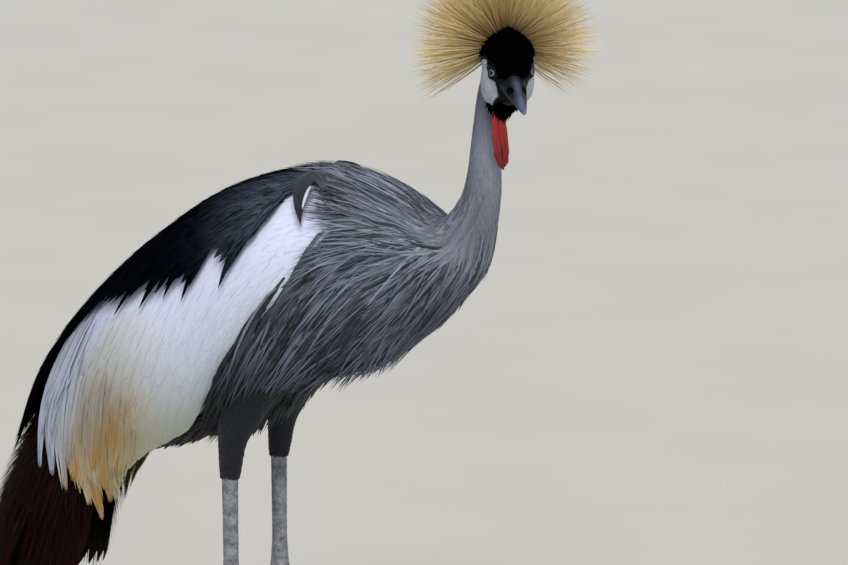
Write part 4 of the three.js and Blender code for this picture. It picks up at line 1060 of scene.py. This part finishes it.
# Head
# Short black velvet feathers stand up on the crown, and the throat's are longer. The cheeks are
# bare white skin with a red spot above, and the face round the bill is slate skin.
NOTHING = np.array([0.0, 0.0])
VELVET, FACE, CHEEK, RED_SPOT = linear("#010102"), linear("#080a0f"), linear("#a9adbb"), linear("#5a1214")
LID = linear("#101217")
# the outline of the bare cheek, from the side: x and z in the head's own frame, in mm
CHEEK_EDGE = np.array([(9, 5.5), (13, 4), (14.5, -3), (17, -9.5), (24.0, -12), (25.5, -19), (24.5, -27),
                       (23, -33), (20, -39), (14, -44), (4, -45), (-4, -41), (-10, -33), (-12, -22),
                       (-9, -10), (-3, -2), (3, 3)], float)


def inside(x, z, edge):
    """How far places lie inside an outline, in mm; outside is below zero."""
    ends = np.roll(edge, -1, axis=0)
    nearest = np.full(x.shape, 1e9)
    within = np.zeros(x.shape, bool)
    for (ax, az), (bx, bz) in zip(edge, ends):
        t = np.clip(((x - ax) * (bx - ax) + (z - az) * (bz - az)) / ((bx - ax) ** 2 + (bz - az) ** 2), 0, 1)
        nearest = np.minimum(nearest, np.hypot(x - ax - t * (bx - ax), z - az - t * (bz - az)))
        crosses = (az > z) != (bz > z)
        within ^= crosses & (x < (bx - ax) * (z - az) / (bz - az + 1e-12) + ax)
    return np.where(within, nearest, -nearest)


def cap_edge(x):
    """The height of the velvet cap's lower edge along the head."""
    return read([(-34, -10), (-20, -8), (-6, 0), (4, 5), (10, 8), (16, 4), (21, -1), (26, -4), (30, -5),
                 (34, -5)], x)


def head_marks(local):
    """Colours of the head's skin by place, in mm of the head's own frame."""
    x, y, z = local.T
    tone = np.broadcast_to(VELVET, (len(x), 3)).copy()
    front = np.clip((x - 19) / 3, 0, 1) * np.clip((cap_edge(x) - z) / 1.5, 0, 1) * np.clip((z + 38) / 5, 0, 1)
    tone = mixed(tone, FACE, front)
    deep = inside(x, z, CHEEK_EDGE)
    tone = mixed(tone, CHEEK, (deep + 0.5) / 1.0)
    spot = 1 - np.hypot((x - 6) / 7.5, (z - 7) / 4.0)
    tone = mixed(tone, RED_SPOT, spot * 2.5)
    off_eye = np.linalg.norm(np.stack([x, np.abs(y), z], -1) - EYE, axis=1)
    return mixed(tone, LID, (7.6 - off_eye) / 0.8)


# The whole skin is marked like its coat: velvet, cheek and face on the head, slate down under the
# grey feathers, pale under the white ones, and grey horn scales on the legs.
def points_of(piece):
    """The points of a piece's mesh, in metres."""
    place = np.empty(len(piece.data.vertices) * 3)
    piece.data.vertices.foreach_get("co", place)
    return place.reshape(-1, 3)


place = points_of(skin)
local = (place - HEAD_AT) @ HEAD_TURN / MM
grid = np.meshgrid(np.arange(0, 17.01, 0.2), np.arange(-180, 180, 6.0), indexing="ij")
grid_s, grid_a = [values.ravel() for values in grid]
finder = KDTree(len(grid_s))
for index, spot in enumerate(coat(grid_s, grid_a, flesh_depth(grid_s, grid_a) + 3)):
    finder.insert(spot, index)
finder.balance()
nearest = np.array([finder.find(point)[1] for point in place])
s, a = grid_s[nearest], grid_a[nearest]
tone = grey_marks(s, a)
on_wing = (s > 10) & (s < 16.5) & (np.abs(a) > read(BLACK_EDGE, s)) & (np.abs(a) < read(WHITE_FRONT, s) - 6)
tone = np.where(on_wing[:, None], wing_marks(s, a) * 0.7, tone)
on_head_skin = (local[:, 0] > -38) & (local[:, 0] < 40) & (np.abs(local[:, 1]) < 34) & (local[:, 2] > -46)
tone = np.where(on_head_skin[:, None], head_marks(local), tone)
from_leg = np.hypot(place[:, 0] + 0.027, np.abs(place[:, 1]) - 0.05)
clothed_leg = (place[:, 2] > 0.338) & (place[:, 2] < 0.480) & (from_leg < 0.055)
tone = np.where(clothed_leg[:, None], linear("#0e1016"), tone)
bare_leg = (place[:, 2] < 0.345) & (np.abs(np.abs(place[:, 1]) - 0.05) < 0.1)
tone = np.where(bare_leg[:, None], linear("#6f7577"), tone)
paint(skin.data, tone)
smoothed(skin)

# feather-bearing skin: thin, dry and finely pored
feathered_skin, tree, shader = material("feathered_skin")
tone_node = add(tree, "ShaderNodeAttribute", attribute_name="tone", attribute_type="GEOMETRY")
where = add(tree, "ShaderNodeTexCoord")
pores = add(tree, "ShaderNodeTexNoise", {"Scale": 900.0, "Detail": 3.0}, {"Vector": where.outputs["Object"]})
patchy = add(tree, "ShaderNodeTexNoise", {"Scale": 130.0, "Detail": 4.0}, {"Vector": where.outputs["Object"]})
uneven = add(tree, "ShaderNodeMapRange", {"From Min": 0.3, "From Max": 0.7, "To Min": 0.9, "To Max": 1.08},
             {"Value": patchy.outputs["Fac"]})
tinted = add(tree, "ShaderNodeVectorMath", links={0: tone_node.outputs["Color"], 1: uneven.outputs["Result"]},
             operation="MULTIPLY")
bump = add(tree, "ShaderNodeBump", {"Strength": 0.25, "Distance": 0.0003}, {"Height": pores.outputs["Fac"]})
settle(tree, shader, {"Roughness": 0.6, "Specular IOR Level": 0.12},
       {"Base Color": tinted.outputs["Vector"], "Normal": bump.outputs["Normal"]})

# leg horn: dry keratin scutes, pale with age, darker in the grooves
scale_horn, tree, shader = material("leg_scute_keratin")
where = add(tree, "ShaderNodeTexCoord")
blotch = add(tree, "ShaderNodeTexNoise", {"Scale": 90.0, "Detail": 5.0, "Roughness": 0.65},
             {"Vector": where.outputs["Object"]})
tone_ramp = add(tree, "ShaderNodeValToRGB", links={"Fac": blotch.outputs["Fac"]})
tone_ramp.color_ramp.elements[0].position, tone_ramp.color_ramp.elements[0].color = 0.32, colour("#50545b")
tone_ramp.color_ramp.elements[1].position, tone_ramp.color_ramp.elements[1].color = 0.68, colour("#a2a6ad")
cells = add(tree, "ShaderNodeTexVoronoi", {"Scale": 420.0}, {"Vector": where.outputs["Object"]},
            feature="DISTANCE_TO_EDGE")
groove = add(tree, "ShaderNodeMapRange", {"From Min": 0.0, "From Max": 0.12, "To Min": 0.6, "To Max": 1.0},
             {"Value": cells.outputs["Distance"]})
darker_grooves = add(tree, "ShaderNodeVectorMath", links={0: tone_ramp.outputs["Color"], 1: groove.outputs["Result"]},
            operation="MULTIPLY")
bump = add(tree, "ShaderNodeBump", {"Strength": 0.5, "Distance": 0.0004},
           {"Height": groove.outputs["Result"]})
settle(tree, shader, {"Roughness": 0.6, "Specular IOR Level": 0.35},
       {"Base Color": darker_grooves.outputs["Vector"], "Normal": bump.outputs["Normal"]})

skin.data.materials.clear()
skin.data.materials.append(feathered_skin)
skin.data.materials.append(scale_horn)
for face in skin.data.polygons:
    face.material_index = int(all(bare_leg[v] for v in face.vertices))
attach(skin, "root")
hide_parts("neck", "torso", "head", "wing_right", "wing_left", "thigh_right", "thigh_left",
            "shank_right", "shank_left", "tarsus_right", "tarsus_left", "foot_right", "foot_left")


def scalp(place, angle, depth):
    """The head as a surface for feathers; the angle runs from the crown round to the head's left."""
    return on_head(skull(place, angle, -np.asarray(depth, float)))


black_velvet = vane_material("black_velvet_feathers", 12, 0.2, 0.9, 0.0, gloss=0.01)
def skin_patch(place):
    """Where feathers with these roots lie on the unwrap of the head."""
    return np.stack([place[:, 0] / 7, place[:, 1] / 360 + 0.5], -1)


# the velvet cap: its feathers run back from the bill and rise over the crown
share = spread(9000, (0.2, -180), (7.0, 180))
x, y, z = skull(share[:, 0], share[:, 1]).T
clear_of_eye = np.linalg.norm(np.stack([x, np.abs(y), z], -1) - EYE, axis=1) > 7.0
covered = (z > cap_edge(x) + 0.8) & clear_of_eye
root = share[covered]
n = len(root)
length = read([(0, 0.75), (2, 0.62), (4, 0.5), (6, 0.62), (7, 0.8)], root[:, 0]) * chance.uniform(0.8, 1.2, n)
tip = root - np.stack([length, root[:, 1] * 0.02 + chance.normal(0, 5, n)], -1)
rim = past(z[covered], cap_edge(x[covered]), 10)
deep = np.stack([np.full(n, 1.5), np.full(n, -0.4), -0.8 - 2.4 * rim * chance.uniform(0.6, 1.1, n)], -1)
tones = np.broadcast_to(VELVET, (n, 3, 3)) * chance.uniform(0.6, 1.8, (n, 1, 1))
cap = feathers("crown_velvet", scalp, root, tip, deep, chance.uniform(0.7, 1.15, n), tones, rings=4,
               patch=skin_patch(root))
finish(cap, black_velvet)

# short black feathers behind and below the cheeks, which meet the grey of the neck
share = spread(5200, (0.0, -180), (6.2, 180), 0.5)
x, y, z = skull(share[:, 0], share[:, 1]).T
keep = (z <= cap_edge(x) + 2) & (inside(x, z, CHEEK_EDGE) < -1.0) & ((x < 19) | (z < -34))
root = share[keep]
n = len(root)
back = np.sign(root[:, 1]) * (180 - np.abs(root[:, 1]))
tip = root + np.stack([-chance.uniform(0.35, 0.6, n), -back * 0.12], -1)
dark = mixed(SLATE_NECK[None], VELVET, past(x[keep], -12, 14))
tones = np.stack([dark * 0.6, dark, dark * 1.1], 1) * chance.uniform(0.8, 1.2, (n, 1, 1))
deep = np.stack([np.full(n, 1.5), np.full(n, 0.2), chance.uniform(-1.4, -0.2, n)], -1)
nape = feathers("nape_feathers", scalp, root, tip, deep, chance.uniform(0.9, 1.5, n), tones, rings=4,
                patch=skin_patch(root))
finish(nape, loose_plume)

# black throat feathers, longer towards the wattle, hanging in a short beard
n = 3000
start = np.stack([chance.uniform(-14, 23, n), chance.normal(0, 5, n), chance.uniform(-42, -33, n)], -1)
start[:, 1] = np.clip(start[:, 1], -12, 12) + read([(-14, -6.5), (4, -7.5), (20, -3)], start[:, 0])
longest = read([(-14, 34), (0, 35), (10, 34), (17, 24), (23, 8)], start[:, 0])
fall = np.stack([chance.normal(-0.5, 1.5, n), chance.normal(0, 1.5, n) - start[:, 1] * 0.15,
                 -chance.uniform(0.45, 1, n) * longest * (1 - np.abs(start[:, 1] + 6) / 30)], -1)
ends = start + fall
ends[:, 2] = np.maximum(ends[:, 2], -71 + chance.uniform(0, 5, n))


def hanging(starts, stops, sway):
    """A surface for feathers that hang free on the head: the place runs from the root to the tip of each."""
    away, sideways = np.array([1.0, 0, 0.2]), np.array([0, 1.0, 0])

    def at(p, q, depth):
        p, q, depth = np.broadcast_arrays(p, q, depth)
        along = starts[:, None, :] + (stops - starts)[:, None, :] * p[..., None]
        along = along + sway * (p * (1 - p) * 4)[..., None]
        return on_head(along + sideways * q[..., None] - away * depth[..., None])
    return at


tones = np.broadcast_to(VELVET, (n, 3, 3)) * chance.uniform(0.8, 2.6, (n, 1, 1))
throat = feathers("throat_feathers", hanging(start, ends, np.array([2.5, 0, 0])), np.tile(NOTHING, (n, 1)),
                  np.tile([1.0, 0.0], (n, 1)), (0, 0, 0), chance.uniform(0.5, 0.9, n), tones, rings=5,
                  patch=np.stack([start[:, 0] / 80 + 0.5, start[:, 1] / 80 + 0.5], -1))
finish(throat, black_velvet)

# Crest
# A crown of stiff golden bristle feathers, each a bare twisted shaft, that stand out all round from
# a patch at the back of the cap.
gold_bristle, tree, shader = material("crest_bristle_keratin")
tone_node = add(tree, "ShaderNodeAttribute", attribute_name="tone", attribute_type="GEOMETRY")
place = add(tree, "ShaderNodeUVMap", uv_map="vane")
parts = add(tree, "ShaderNodeSeparateXYZ", links={"Vector": place.outputs["UV"]})
winds = add(tree, "ShaderNodeMath", {1: 160.0}, {0: parts.outputs["Y"]}, operation="MULTIPLY")
bands = add(tree, "ShaderNodeMath", links={0: winds.outputs[0]}, operation="SINE")
light = add(tree, "ShaderNodeMapRange", {"From Min": -1.0, "From Max": 1.0, "To Min": 0.86, "To Max": 1.1},
            {"Value": bands.outputs[0]})
wound = add(tree, "ShaderNodeVectorMath", links={0: tone_node.outputs["Color"], 1: light.outputs["Result"]},
            operation="MULTIPLY")
settle(tree, shader, {"Roughness": 0.55, "Specular IOR Level": 0.35}, {"Base Color": wound.outputs["Vector"]})

CREST_MIDDLE = np.array([-18.0, 0, 5])
LEAN = unit(np.array([-0.55, 0, 0.83]))
# bristles spread evenly over the open crown, by equal turns, down to its widest opening
n = 3900
GOLDEN_TURN, OPENING = 2.399963, math.radians(120)
turn = np.arange(n) * GOLDEN_TURN
upright = (1 - (1 - math.cos(OPENING)) * (np.arange(n) + 0.5) / n)[:, None]
side_way = np.array([0, 1.0, 0])
up_way = np.cross(LEAN, side_way)
around = side_way * np.cos(turn)[:, None] + up_way * np.sin(turn)[:, None]
way = LEAN * upright + around * np.sqrt(1 - upright**2)
way = way[(way[:, 0] < 0.34) & (way[:, 2] > -0.88 + 0.9 * np.maximum(0, -way[:, 0]))]
n = len(way)
foot = CREST_MIDDLE + way * 11
strayed = unit(way + chance.normal(0, 0.05, (n, 3)))
stop = CREST_MIDDLE + strayed * (chance.uniform(0.7, 1.0, n) ** 0.7 * 101)[:, None]
middle_bend = chance.normal(0, 1.6, (n, 1, 3))


def bristle_path(p, q, depth):
    """The line of each bristle, a little bent, as a surface for feathers."""
    p, q, depth = np.broadcast_arrays(p, q, depth)
    along = foot[:, None, :] + (stop - foot)[:, None, :] * p[..., None]
    along = along + middle_bend * (p * (1 - p) * 4)[..., None]
    sideways = unit(np.cross(way, np.array([0.3, 0.9, 0.31])))[:, None, :]
    away = unit(np.cross(way[:, None, :], sideways))
    return on_head(along + sideways * q[..., None] - away * depth[..., None])


gold = mixed(linear("#bb9f60")[None], linear("#e0cd9a"), chance.uniform(0, 1, n))
tones = np.stack([linear("#8a6a3e") * np.ones((n, 1)), gold, gold * 1.05], 1)
crest = feathers("crest_bristles", bristle_path, np.tile(NOTHING, (n, 1)), np.tile([1.0, 0.0], (n, 1)),
                 (0, 0, 0), chance.uniform(0.26, 0.42, n), tones, rings=6, outline=BRISTLE,
                 section=[(-1, 0), (0, 1.3), (1, 0)],
                 patch=np.stack([foot[:, 0] / 60 + 0.8, foot[:, 1] / 60 + 0.5], -1))
finish(crest, gold_bristle)
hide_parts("crest")

# Bill
# Horn sheath over bone: short, stout and slate grey, with a blunt ridge, open nostrils in a shallow
# hollow and a fine mouth line. Upper and lower half are separate horn.
# x, ridge, floor, half width (mm)
UPPER = [(22, 1.5, -14.5, 13.8), (28, 0.5, -14.3, 13.6), (36, -1.6, -14.2, 12.4), (46, -3.8, -14.2, 10.7),
         (56, -6.5, -14.2, 8.7), (66, -8.8, -14.3, 6.7), (75, -11.0, -14.8, 4.7), (82, -12.9, -15.4, 2.9),
         (86.5, -14.6, -16.1, 1.2)]
LOWER = [(20, -14.7, -27.5, 12.0), (28, -14.7, -25.8, 11.6), (36, -14.7, -24.0, 10.6),
         (46, -14.7, -22.3, 9.1), (56, -14.7, -21.0, 7.4), (66, -14.8, -19.6, 5.4), (75, -15.2, -18.1, 3.4),
         (81, -15.7, -17.0, 1.2)]


def bill_half(name, sections, ridge):
    """One half of the bill, extruded from a round at its root, section by section."""
    bpy.ops.object.select_all(action="DESELECT")
    x, top, floor_z, half = sections[0]
    bpy.ops.mesh.primitive_circle_add(vertices=28, radius=1, fill_type="NGON", location=(0, 0, 0))
    piece = bpy.context.object
    piece.name = name
    bpy.ops.object.mode_set(mode="EDIT")
    bpy.ops.mesh.select_all(action="SELECT")
    bpy.ops.transform.rotate(value=math.radians(90), orient_axis="Y", center_override=(0, 0, 0))
    tall = (top - floor_z) / 2
    bpy.ops.transform.resize(value=(1, half * MM, tall * MM), center_override=(0, 0, 0))
    bpy.ops.transform.translate(value=(x * MM, 0, (top - tall) * MM))
    for (x0, top0, floor0, half0), (x1, top1, floor1, half1) in zip(sections, sections[1:]):
        middle0, middle1 = (top0 + floor0) / 2, (top1 + floor1) / 2
        bpy.ops.mesh.extrude_region_move(TRANSFORM_OT_translate={
            "value": ((x1 - x0) * MM, 0, (middle1 - middle0) * MM)})
        bpy.ops.transform.resize(value=(1, half1 / half0, (top1 - floor1) / (top0 - floor0)),
                                 center_override=(x1 * MM, 0, middle1 * MM))
    bpy.ops.mesh.select_all(action="SELECT")
    bpy.ops.mesh.normals_make_consistent(inside=False)
    bpy.ops.object.mode_set(mode="OBJECT")
    rows = np.array(sections)
    for vertex in piece.data.vertices:
        x, y, z = vertex.co / MM
        top, low, half = [np.interp(x, rows[:, 0], rows[:, k]) for k in (1, 2, 3)]
        away = ridge * (z - (top + low) / 2) / max((top - low) / 2, 0.1)
        edge = low if ridge > 0 else top
        rise = (top - low) * (away**0.85 if away > 0 else -0.06 * (1 - abs(y) / half))
        vertex.co.z = (edge + ridge * rise) * MM
        vertex.co.y = y * (1 - 0.16 * max(away, 0) ** 2) * MM
    smoother = piece.modifiers.new("rounding", "SUBSURF")
    smoother.levels = smoother.render_levels = 2
    bpy.ops.object.modifier_apply(modifier="rounding")
    return piece


# horn: smooth, satin, with fine growth lines along it; its tone carries painted light, paler along the ridge
# and towards the tip
bill_horn, tree, shader = material("bill_horn_keratin")
where = add(tree, "ShaderNodeTexCoord")
turned = add(tree, "ShaderNodeMapping", links={"Vector": where.outputs["Object"]})
turned.inputs["Rotation"].default_value = (0, math.radians(-18), math.radians(54))
turned.inputs["Scale"].default_value = (90, 700, 700)
grain = add(tree, "ShaderNodeTexNoise", {"Scale": 1.0, "Detail": 4.0}, {"Vector": turned.outputs["Vector"]})
mottles = add(tree, "ShaderNodeTexNoise", {"Scale": 160.0, "Detail": 3.0},
              {"Vector": where.outputs["Object"]})
both = add(tree, "ShaderNodeMath", links={0: grain.outputs["Fac"], 1: mottles.outputs["Fac"]},
           operation="ADD")
mean = add(tree, "ShaderNodeMath", {1: 0.5}, {0: both.outputs[0]}, operation="MULTIPLY")
horn_ramp = add(tree, "ShaderNodeValToRGB", links={"Fac": mean.outputs[0]})
for stop, (at, code) in zip(horn_ramp.color_ramp.elements, ((0.36, "#c4c4c4"), (0.64, "#ffffff"))):
    stop.position, stop.color = at, colour(code)
tone_node = add(tree, "ShaderNodeAttribute", attribute_name="tone", attribute_type="GEOMETRY")
grained = add(tree, "ShaderNodeVectorMath",
              links={0: horn_ramp.outputs["Color"], 1: tone_node.outputs["Color"]}, operation="MULTIPLY")
# the nostril's hollow, painted near black as shade, is matt, the rest satin
depth_of_tone = add(tree, "ShaderNodeVectorMath", links={0: tone_node.outputs["Vector"]}, operation="LENGTH")
satin = add(tree, "ShaderNodeMapRange", {"From Min": 0.002, "From Max": 0.006, "To Min": 1.0, "To Max": 0.42},
            {"Value": depth_of_tone.outputs["Value"]})
bump = add(tree, "ShaderNodeBump", {"Strength": 0.15, "Distance": 0.0002}, {"Height": grain.outputs["Fac"]})
settle(tree, shader, {"Specular IOR Level": 0.18},
       {"Base Color": grained.outputs["Vector"], "Roughness": satin.outputs["Result"],
        "Normal": bump.outputs["Normal"]})


NOSTRIL = np.array([50, 10.2, -8.3])
upper, lower = bill_half("bill_upper_horn", UPPER, 1), bill_half("bill_lower_horn", LOWER, -1)
for piece in (upper, lower):
    piece.matrix_world = HEAD @ piece.matrix_world
    select(piece)
    bpy.ops.object.transform_apply(location=True, rotation=True, scale=True)
    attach(piece, "root")
for side in (1, -1):
    cut(upper, ball("nostril", NOSTRIL * (1, side, 1), (5.6, 7.6, 3.6)))
for piece in (upper, lower):
    select(piece)
    bpy.ops.object.shade_smooth_by_angle(angle=math.radians(50))
    finish(piece, bill_horn)
    # dark slate, with a painted highlight along the ridge and painted light towards the tip
    x, y, z = ((points_of(piece) - HEAD_AT) @ HEAD_TURN / MM).T
    top = np.interp(x, *np.array(UPPER)[:, :2].T)
    ridge_highlight = 0.6 * np.clip(1 - np.abs(y) / 6.5, 0, 1) * np.clip(1 - (top - z) / 5, 0, 1)
    painted_light = past(x, 58, 26) * 0.6 + ridge_highlight * past(x, 30, 14)
    tone = mixed(linear("#0b0e15")[None], linear("#606c8a"), painted_light)
    # the hollow of each nostril is painted near black, as shade
    pit = np.linalg.norm((np.stack([x, np.abs(y), z], -1) - NOSTRIL) / (6.2, 8.1, 4.2), axis=1)
    paint(piece.data, mixed(tone, linear("#020203"), (1.02 - pit) / 0.1))
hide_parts("bill_upper")
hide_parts("bill_lower")

# Eyes
# A wet eyeball with a pale blue-grey iris and a round dark pupil, under a clear cornea.
EYE_RINGS = [(0.42, "#010102"), (0.47, "#5d6978"), (0.6, "#717d8f"), (0.74, "#5f6a7b"), (0.82, "#0c0e12")]
for side, name in ((-1, "eye_right"), (1, "eye_left")):
    wet_eye, tree, shader = material(name.replace("eye", "cornea_and_iris"))
    axis = HEAD_TURN @ (EYE_WAY * (1, side, 1))
    centre = on_head(EYE * (1, side, 1))
    where = add(tree, "ShaderNodeTexCoord")
    off = add(tree, "ShaderNodeVectorMath", {1: tuple(centre)}, {0: where.outputs["Object"]},
              operation="SUBTRACT")
    way = add(tree, "ShaderNodeVectorMath", links={0: off.outputs["Vector"]}, operation="NORMALIZE")
    along_axis = add(tree, "ShaderNodeVectorMath", {1: tuple(axis)}, {0: way.outputs["Vector"]},
                     operation="DOT_PRODUCT")
    angle = add(tree, "ShaderNodeMath", links={0: along_axis.outputs["Value"]}, operation="ARCCOSINE")
    fibres = add(tree, "ShaderNodeTexNoise", {"Scale": 1400.0, "Detail": 2.0},
                 {"Vector": where.outputs["Object"]})
    nudged = add(tree, "ShaderNodeMath", {1: 0.05}, {0: fibres.outputs["Fac"], 2: angle.outputs[0]},
                 operation="MULTIPLY_ADD")
    # pupil, iris, its darker outer ring and the dark rim of the white, by the angle from the eye's axis
    rings = add(tree, "ShaderNodeValToRGB", links={"Fac": nudged.outputs[0]})
    for at in (0.6, 0.74, 0.82):
        rings.color_ramp.elements.new(at)
    for stop, (at, code) in zip(rings.color_ramp.elements, EYE_RINGS):
        stop.position, stop.color = at, colour(code)
    settle(tree, shader, {"Roughness": 0.12, "Specular IOR Level": 0.1, "Coat Weight": 0.7, "Coat IOR": 1.34,
                          "Coat Roughness": 0.02}, {"Base Color": rings.outputs["Color"]})
    eye = bpy.data.objects[name]
    eye.data.materials.clear()
    eye.data.materials.append(wet_eye)

# Wattle
# Two thin lobes of bare red skin side by side under the throat, full of blood, soft and finely
# wrinkled, wider below than above.
wattle_skin, tree, shader = material("wattle_skin")
where = add(tree, "ShaderNodeTexCoord")
height = add(tree, "ShaderNodeSeparateXYZ", links={"Vector": where.outputs["Object"]})
drop = add(tree, "ShaderNodeMapRange", {"From Min": 0.70, "From Max": 0.76}, {"Value": height.outputs["Z"]})
upright_folds = add(tree, "ShaderNodeMapping", {"Scale": (520, 520, 150)},
                    {"Vector": where.outputs["Object"]})
folds = add(tree, "ShaderNodeTexNoise", {"Scale": 1.0, "Detail": 4.0, "Roughness": 0.6},
            {"Vector": upright_folds.outputs["Vector"]})
mix_in = add(tree, "ShaderNodeMath", {1: 0.45}, {0: folds.outputs["Fac"], 2: drop.outputs["Result"]},
             operation="MULTIPLY_ADD")
reds = add(tree, "ShaderNodeValToRGB", links={"Fac": mix_in.outputs[0]})
for stop, (at, code) in zip(reds.color_ramp.elements, ((0.15, "#720a11"), (1.0, "#c62a16"))):
    stop.position, stop.color = at, colour(code)
bump = add(tree, "ShaderNodeBump", {"Strength": 0.6, "Distance": 0.0008}, {"Height": folds.outputs["Fac"]})
settle(tree, shader, {"Roughness": 0.42, "Subsurface Weight": 0.15,
                      "Subsurface Radius": (0.004, 0.001, 0.0006)},
       {"Base Color": reds.outputs["Color"], "Normal": bump.outputs["Normal"]})

# level, half width and shift to the front, in mm, down the wattle
WATTLE_Z = np.array([757, 752, 746, 737, 720, 702, 692, 687.5])
WATTLE_HALF = np.array([2.2, 2.8, 3.8, 5.2, 6.6, 6.9, 4.8, 1.0])
WATTLE_SHIFT = np.array([-2.2, -2.0, -1.5, -0.5, 1.2, 3.2, 4.6, 5.2])
across_way, front_way = np.array([0.79, 0.62]), np.array([0.62, -0.79])
lobes = []
for k, sign in enumerate((1, -1)):
    fine = np.linspace(0, 1, 60)
    rows = [np.interp(fine, np.linspace(0, 1, 8), values) for values in (WATTLE_Z, WATTLE_HALF, WATTLE_SHIFT)]
    turn = np.linspace(0, 2 * np.pi, 56, endpoint=False)
    rings = []
    for step, (level, wide, shift) in enumerate(zip(*rows)):
        level -= (3.0 if sign < 0 else 0) * fine[step]
        ripple = 0.4 * np.sin(turn * 5 + step * 0.21 + sign) + 0.3 * np.sin(turn * 9 - step * 0.4)
        ripple = ripple + 0.15 * np.sin(turn * 14 + step)
        u = (wide * 0.68 + ripple * 0.7) * np.cos(turn) + sign * 0.47 * wide + shift
        sway = 0.7 * np.sin(step * 0.22 + sign)
        w = (2.3 + 0.1 * wide + ripple) * np.sin(turn) + sway + 1.1 * np.cos(turn) * np.sin(step * 0.1)
        spot = np.array([289.0 - MIDDLE, -19.0]) + u[:, None] * across_way + w[:, None] * front_way
        rings.append(np.column_stack([spot, np.full(56, level)]) * MM)
    lobes.append(loft(f"wattle_lobe_{k}", rings))
cut(lobes[0], lobes[1], "UNION")
wattle = lobes[0]
wattle.name = "wattle_lobes"
smoothed(wattle)
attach(wattle, "root")
finish(wattle, wattle_skin)
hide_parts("wattle")

# Thighs
# The drumsticks are clothed in short velvety slate-black feathers that stop at a step above the
# bare shank.
def thigh_surface(side):
    """The surface of a thigh for its feathers: the place runs down its line, the angle round it."""
    line = np.array(thigh_line(side))

    def at(p, q, depth):
        p, q, depth = np.broadcast_arrays(p, q, depth)
        spine = smooth_rows(line, p)
        radius = smooth_rows(THIGH_RADII[:, None], p)[..., 0] - depth
        turn = np.radians(q)
        ring = np.stack([radius * np.cos(turn) - MIDDLE, 0.8 * radius * np.sin(turn),
                         np.zeros_like(radius)], -1)
        return (spine + ring) * MM
    return at


for side in (1, -1):
    root = spread(2200, (0.2, -180), (4.9, 180), 0.3 * side)
    n = len(root)
    reach = read([(0, 0.45), (2, 0.5), (4, 0.62), (5, 0.5)], root[:, 0]) * chance.uniform(0.8, 1.2, n)
    tip = root + np.stack([reach, chance.normal(0, 6, n)], -1)
    tip[:, 0] = np.minimum(tip[:, 0], 4.8 + chance.uniform(0, 0.195, n))
    tones = np.stack([linear("#08090d") * np.ones((n, 1)),
                      linear("#0d0f15") * chance.uniform(0.7, 1.4, (n, 1)),
                      linear("#13161e") * chance.uniform(0.7, 1.4, (n, 1))], 1)
    deep = np.stack([np.full(n, 5.0), np.full(n, 1.4), chance.uniform(-0.6, 0.8, n)], -1)
    thigh = feathers(f"thigh_feathers_{'right' if side > 0 else 'left'}", thigh_surface(side), root, tip,
                     deep, read([(0, 3.6), (5, 1.8)], root[:, 0]), tones, rings=5,
                     roll=chance.normal(0, 8, n),
                     patch=np.stack([root[:, 0] / 5, root[:, 1] / 360 + 0.5], -1))
    finish(thigh, loose_plume)

# Tail
# Twelve broad black tail feathers under the folded quills.

def tail_fan(p, q, depth):
    """The flat fan of the tail; the place runs back from the rump, the angle is the spread."""
    p, q, depth = np.broadcast_arrays(p, q, depth)
    x, z, slope = np.moveaxis(smooth_rows(STATIONS, 16 + p), -1, 0)[:3]
    lean = np.radians(slope)
    out = np.interp(p, [0, 2.5], [10, 128]) * np.sin(np.radians(q))
    up = 12 - depth - 0.05 * np.abs(q) * p
    return np.stack([x - MIDDLE - np.sin(lean) * up, -out, z + np.cos(lean) * up], -1) * MM


turns = np.linspace(-34, 34, 12)
root = np.stack([np.full(12, 0.05), turns * 0.6], -1)
tip = np.stack([2.55 - 0.12 * np.abs(turns) / 34, turns], -1)
layer = np.abs(turns) / 34 * 3
deep = np.stack([layer + 2, layer, layer], -1)
tones = tones_at(lambda s, a: np.broadcast_to(linear("#0c0a0c"), (len(s), 3)), root, tip,
                 chance.normal(0, 0.2, 12))
tail = feathers("tail_feathers", tail_fan, root, tip, deep, 13.5, tones, rings=14, outline=QUILL,
                section=BROAD, patch=np.stack([np.full(12, 0.5), turns / 80 + 0.5], -1))
finish(tail, dark_vane)
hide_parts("tail")

# Claws
# Blunt curved horn sheaths on the toes, worn at the point.
claw_horn, tree, shader = material("claw_horn_keratin")
where = add(tree, "ShaderNodeTexCoord")
grain = add(tree, "ShaderNodeTexNoise", {"Scale": 500.0, "Detail": 4.0}, {"Vector": where.outputs["Object"]})
horn_ramp = add(tree, "ShaderNodeValToRGB", links={"Fac": grain.outputs["Fac"]})
for stop, code in zip(horn_ramp.color_ramp.elements, ("#17181a", "#3c3d3f")):
    stop.color = colour(code)
settle(tree, shader, {"Roughness": 0.38}, {"Base Color": horn_ramp.outputs["Color"]})
for side in (1, -1):
    for index, (turn, reach) in enumerate(TOES, 1):
        c, s = math.cos(math.radians(turn)), math.sin(math.radians(turn))
        rings = []
        around = np.radians(np.arange(0, 360, 20))
        for t in np.linspace(0, 1, 12):
            d = reach - 1.5 + 17.3 * t
            thick = 3.0 * (1 - t**1.6) + 0.35
            middle = 3.3 + 1.2 * math.sin(math.pi * t) * (1 - t) - 2.6 * t**1.5
            middle = max(middle, thick + 0.05)
            rings.append(np.stack([LEG_X[side] - MIDDLE + d * c - 0.75 * thick * np.sin(around) * s,
                                   LEG_Y[side] + d * s + 0.75 * thick * np.sin(around) * c,
                                   middle + thick * np.cos(around)], -1) * MM)
        name = f"claw_{'right' if side > 0 else 'left'}_{index}"
        claw = loft(name + "_horn", rings)
        smoothed(claw)
        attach(claw, "root")
        finish(claw, claw_horn)
        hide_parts(name)
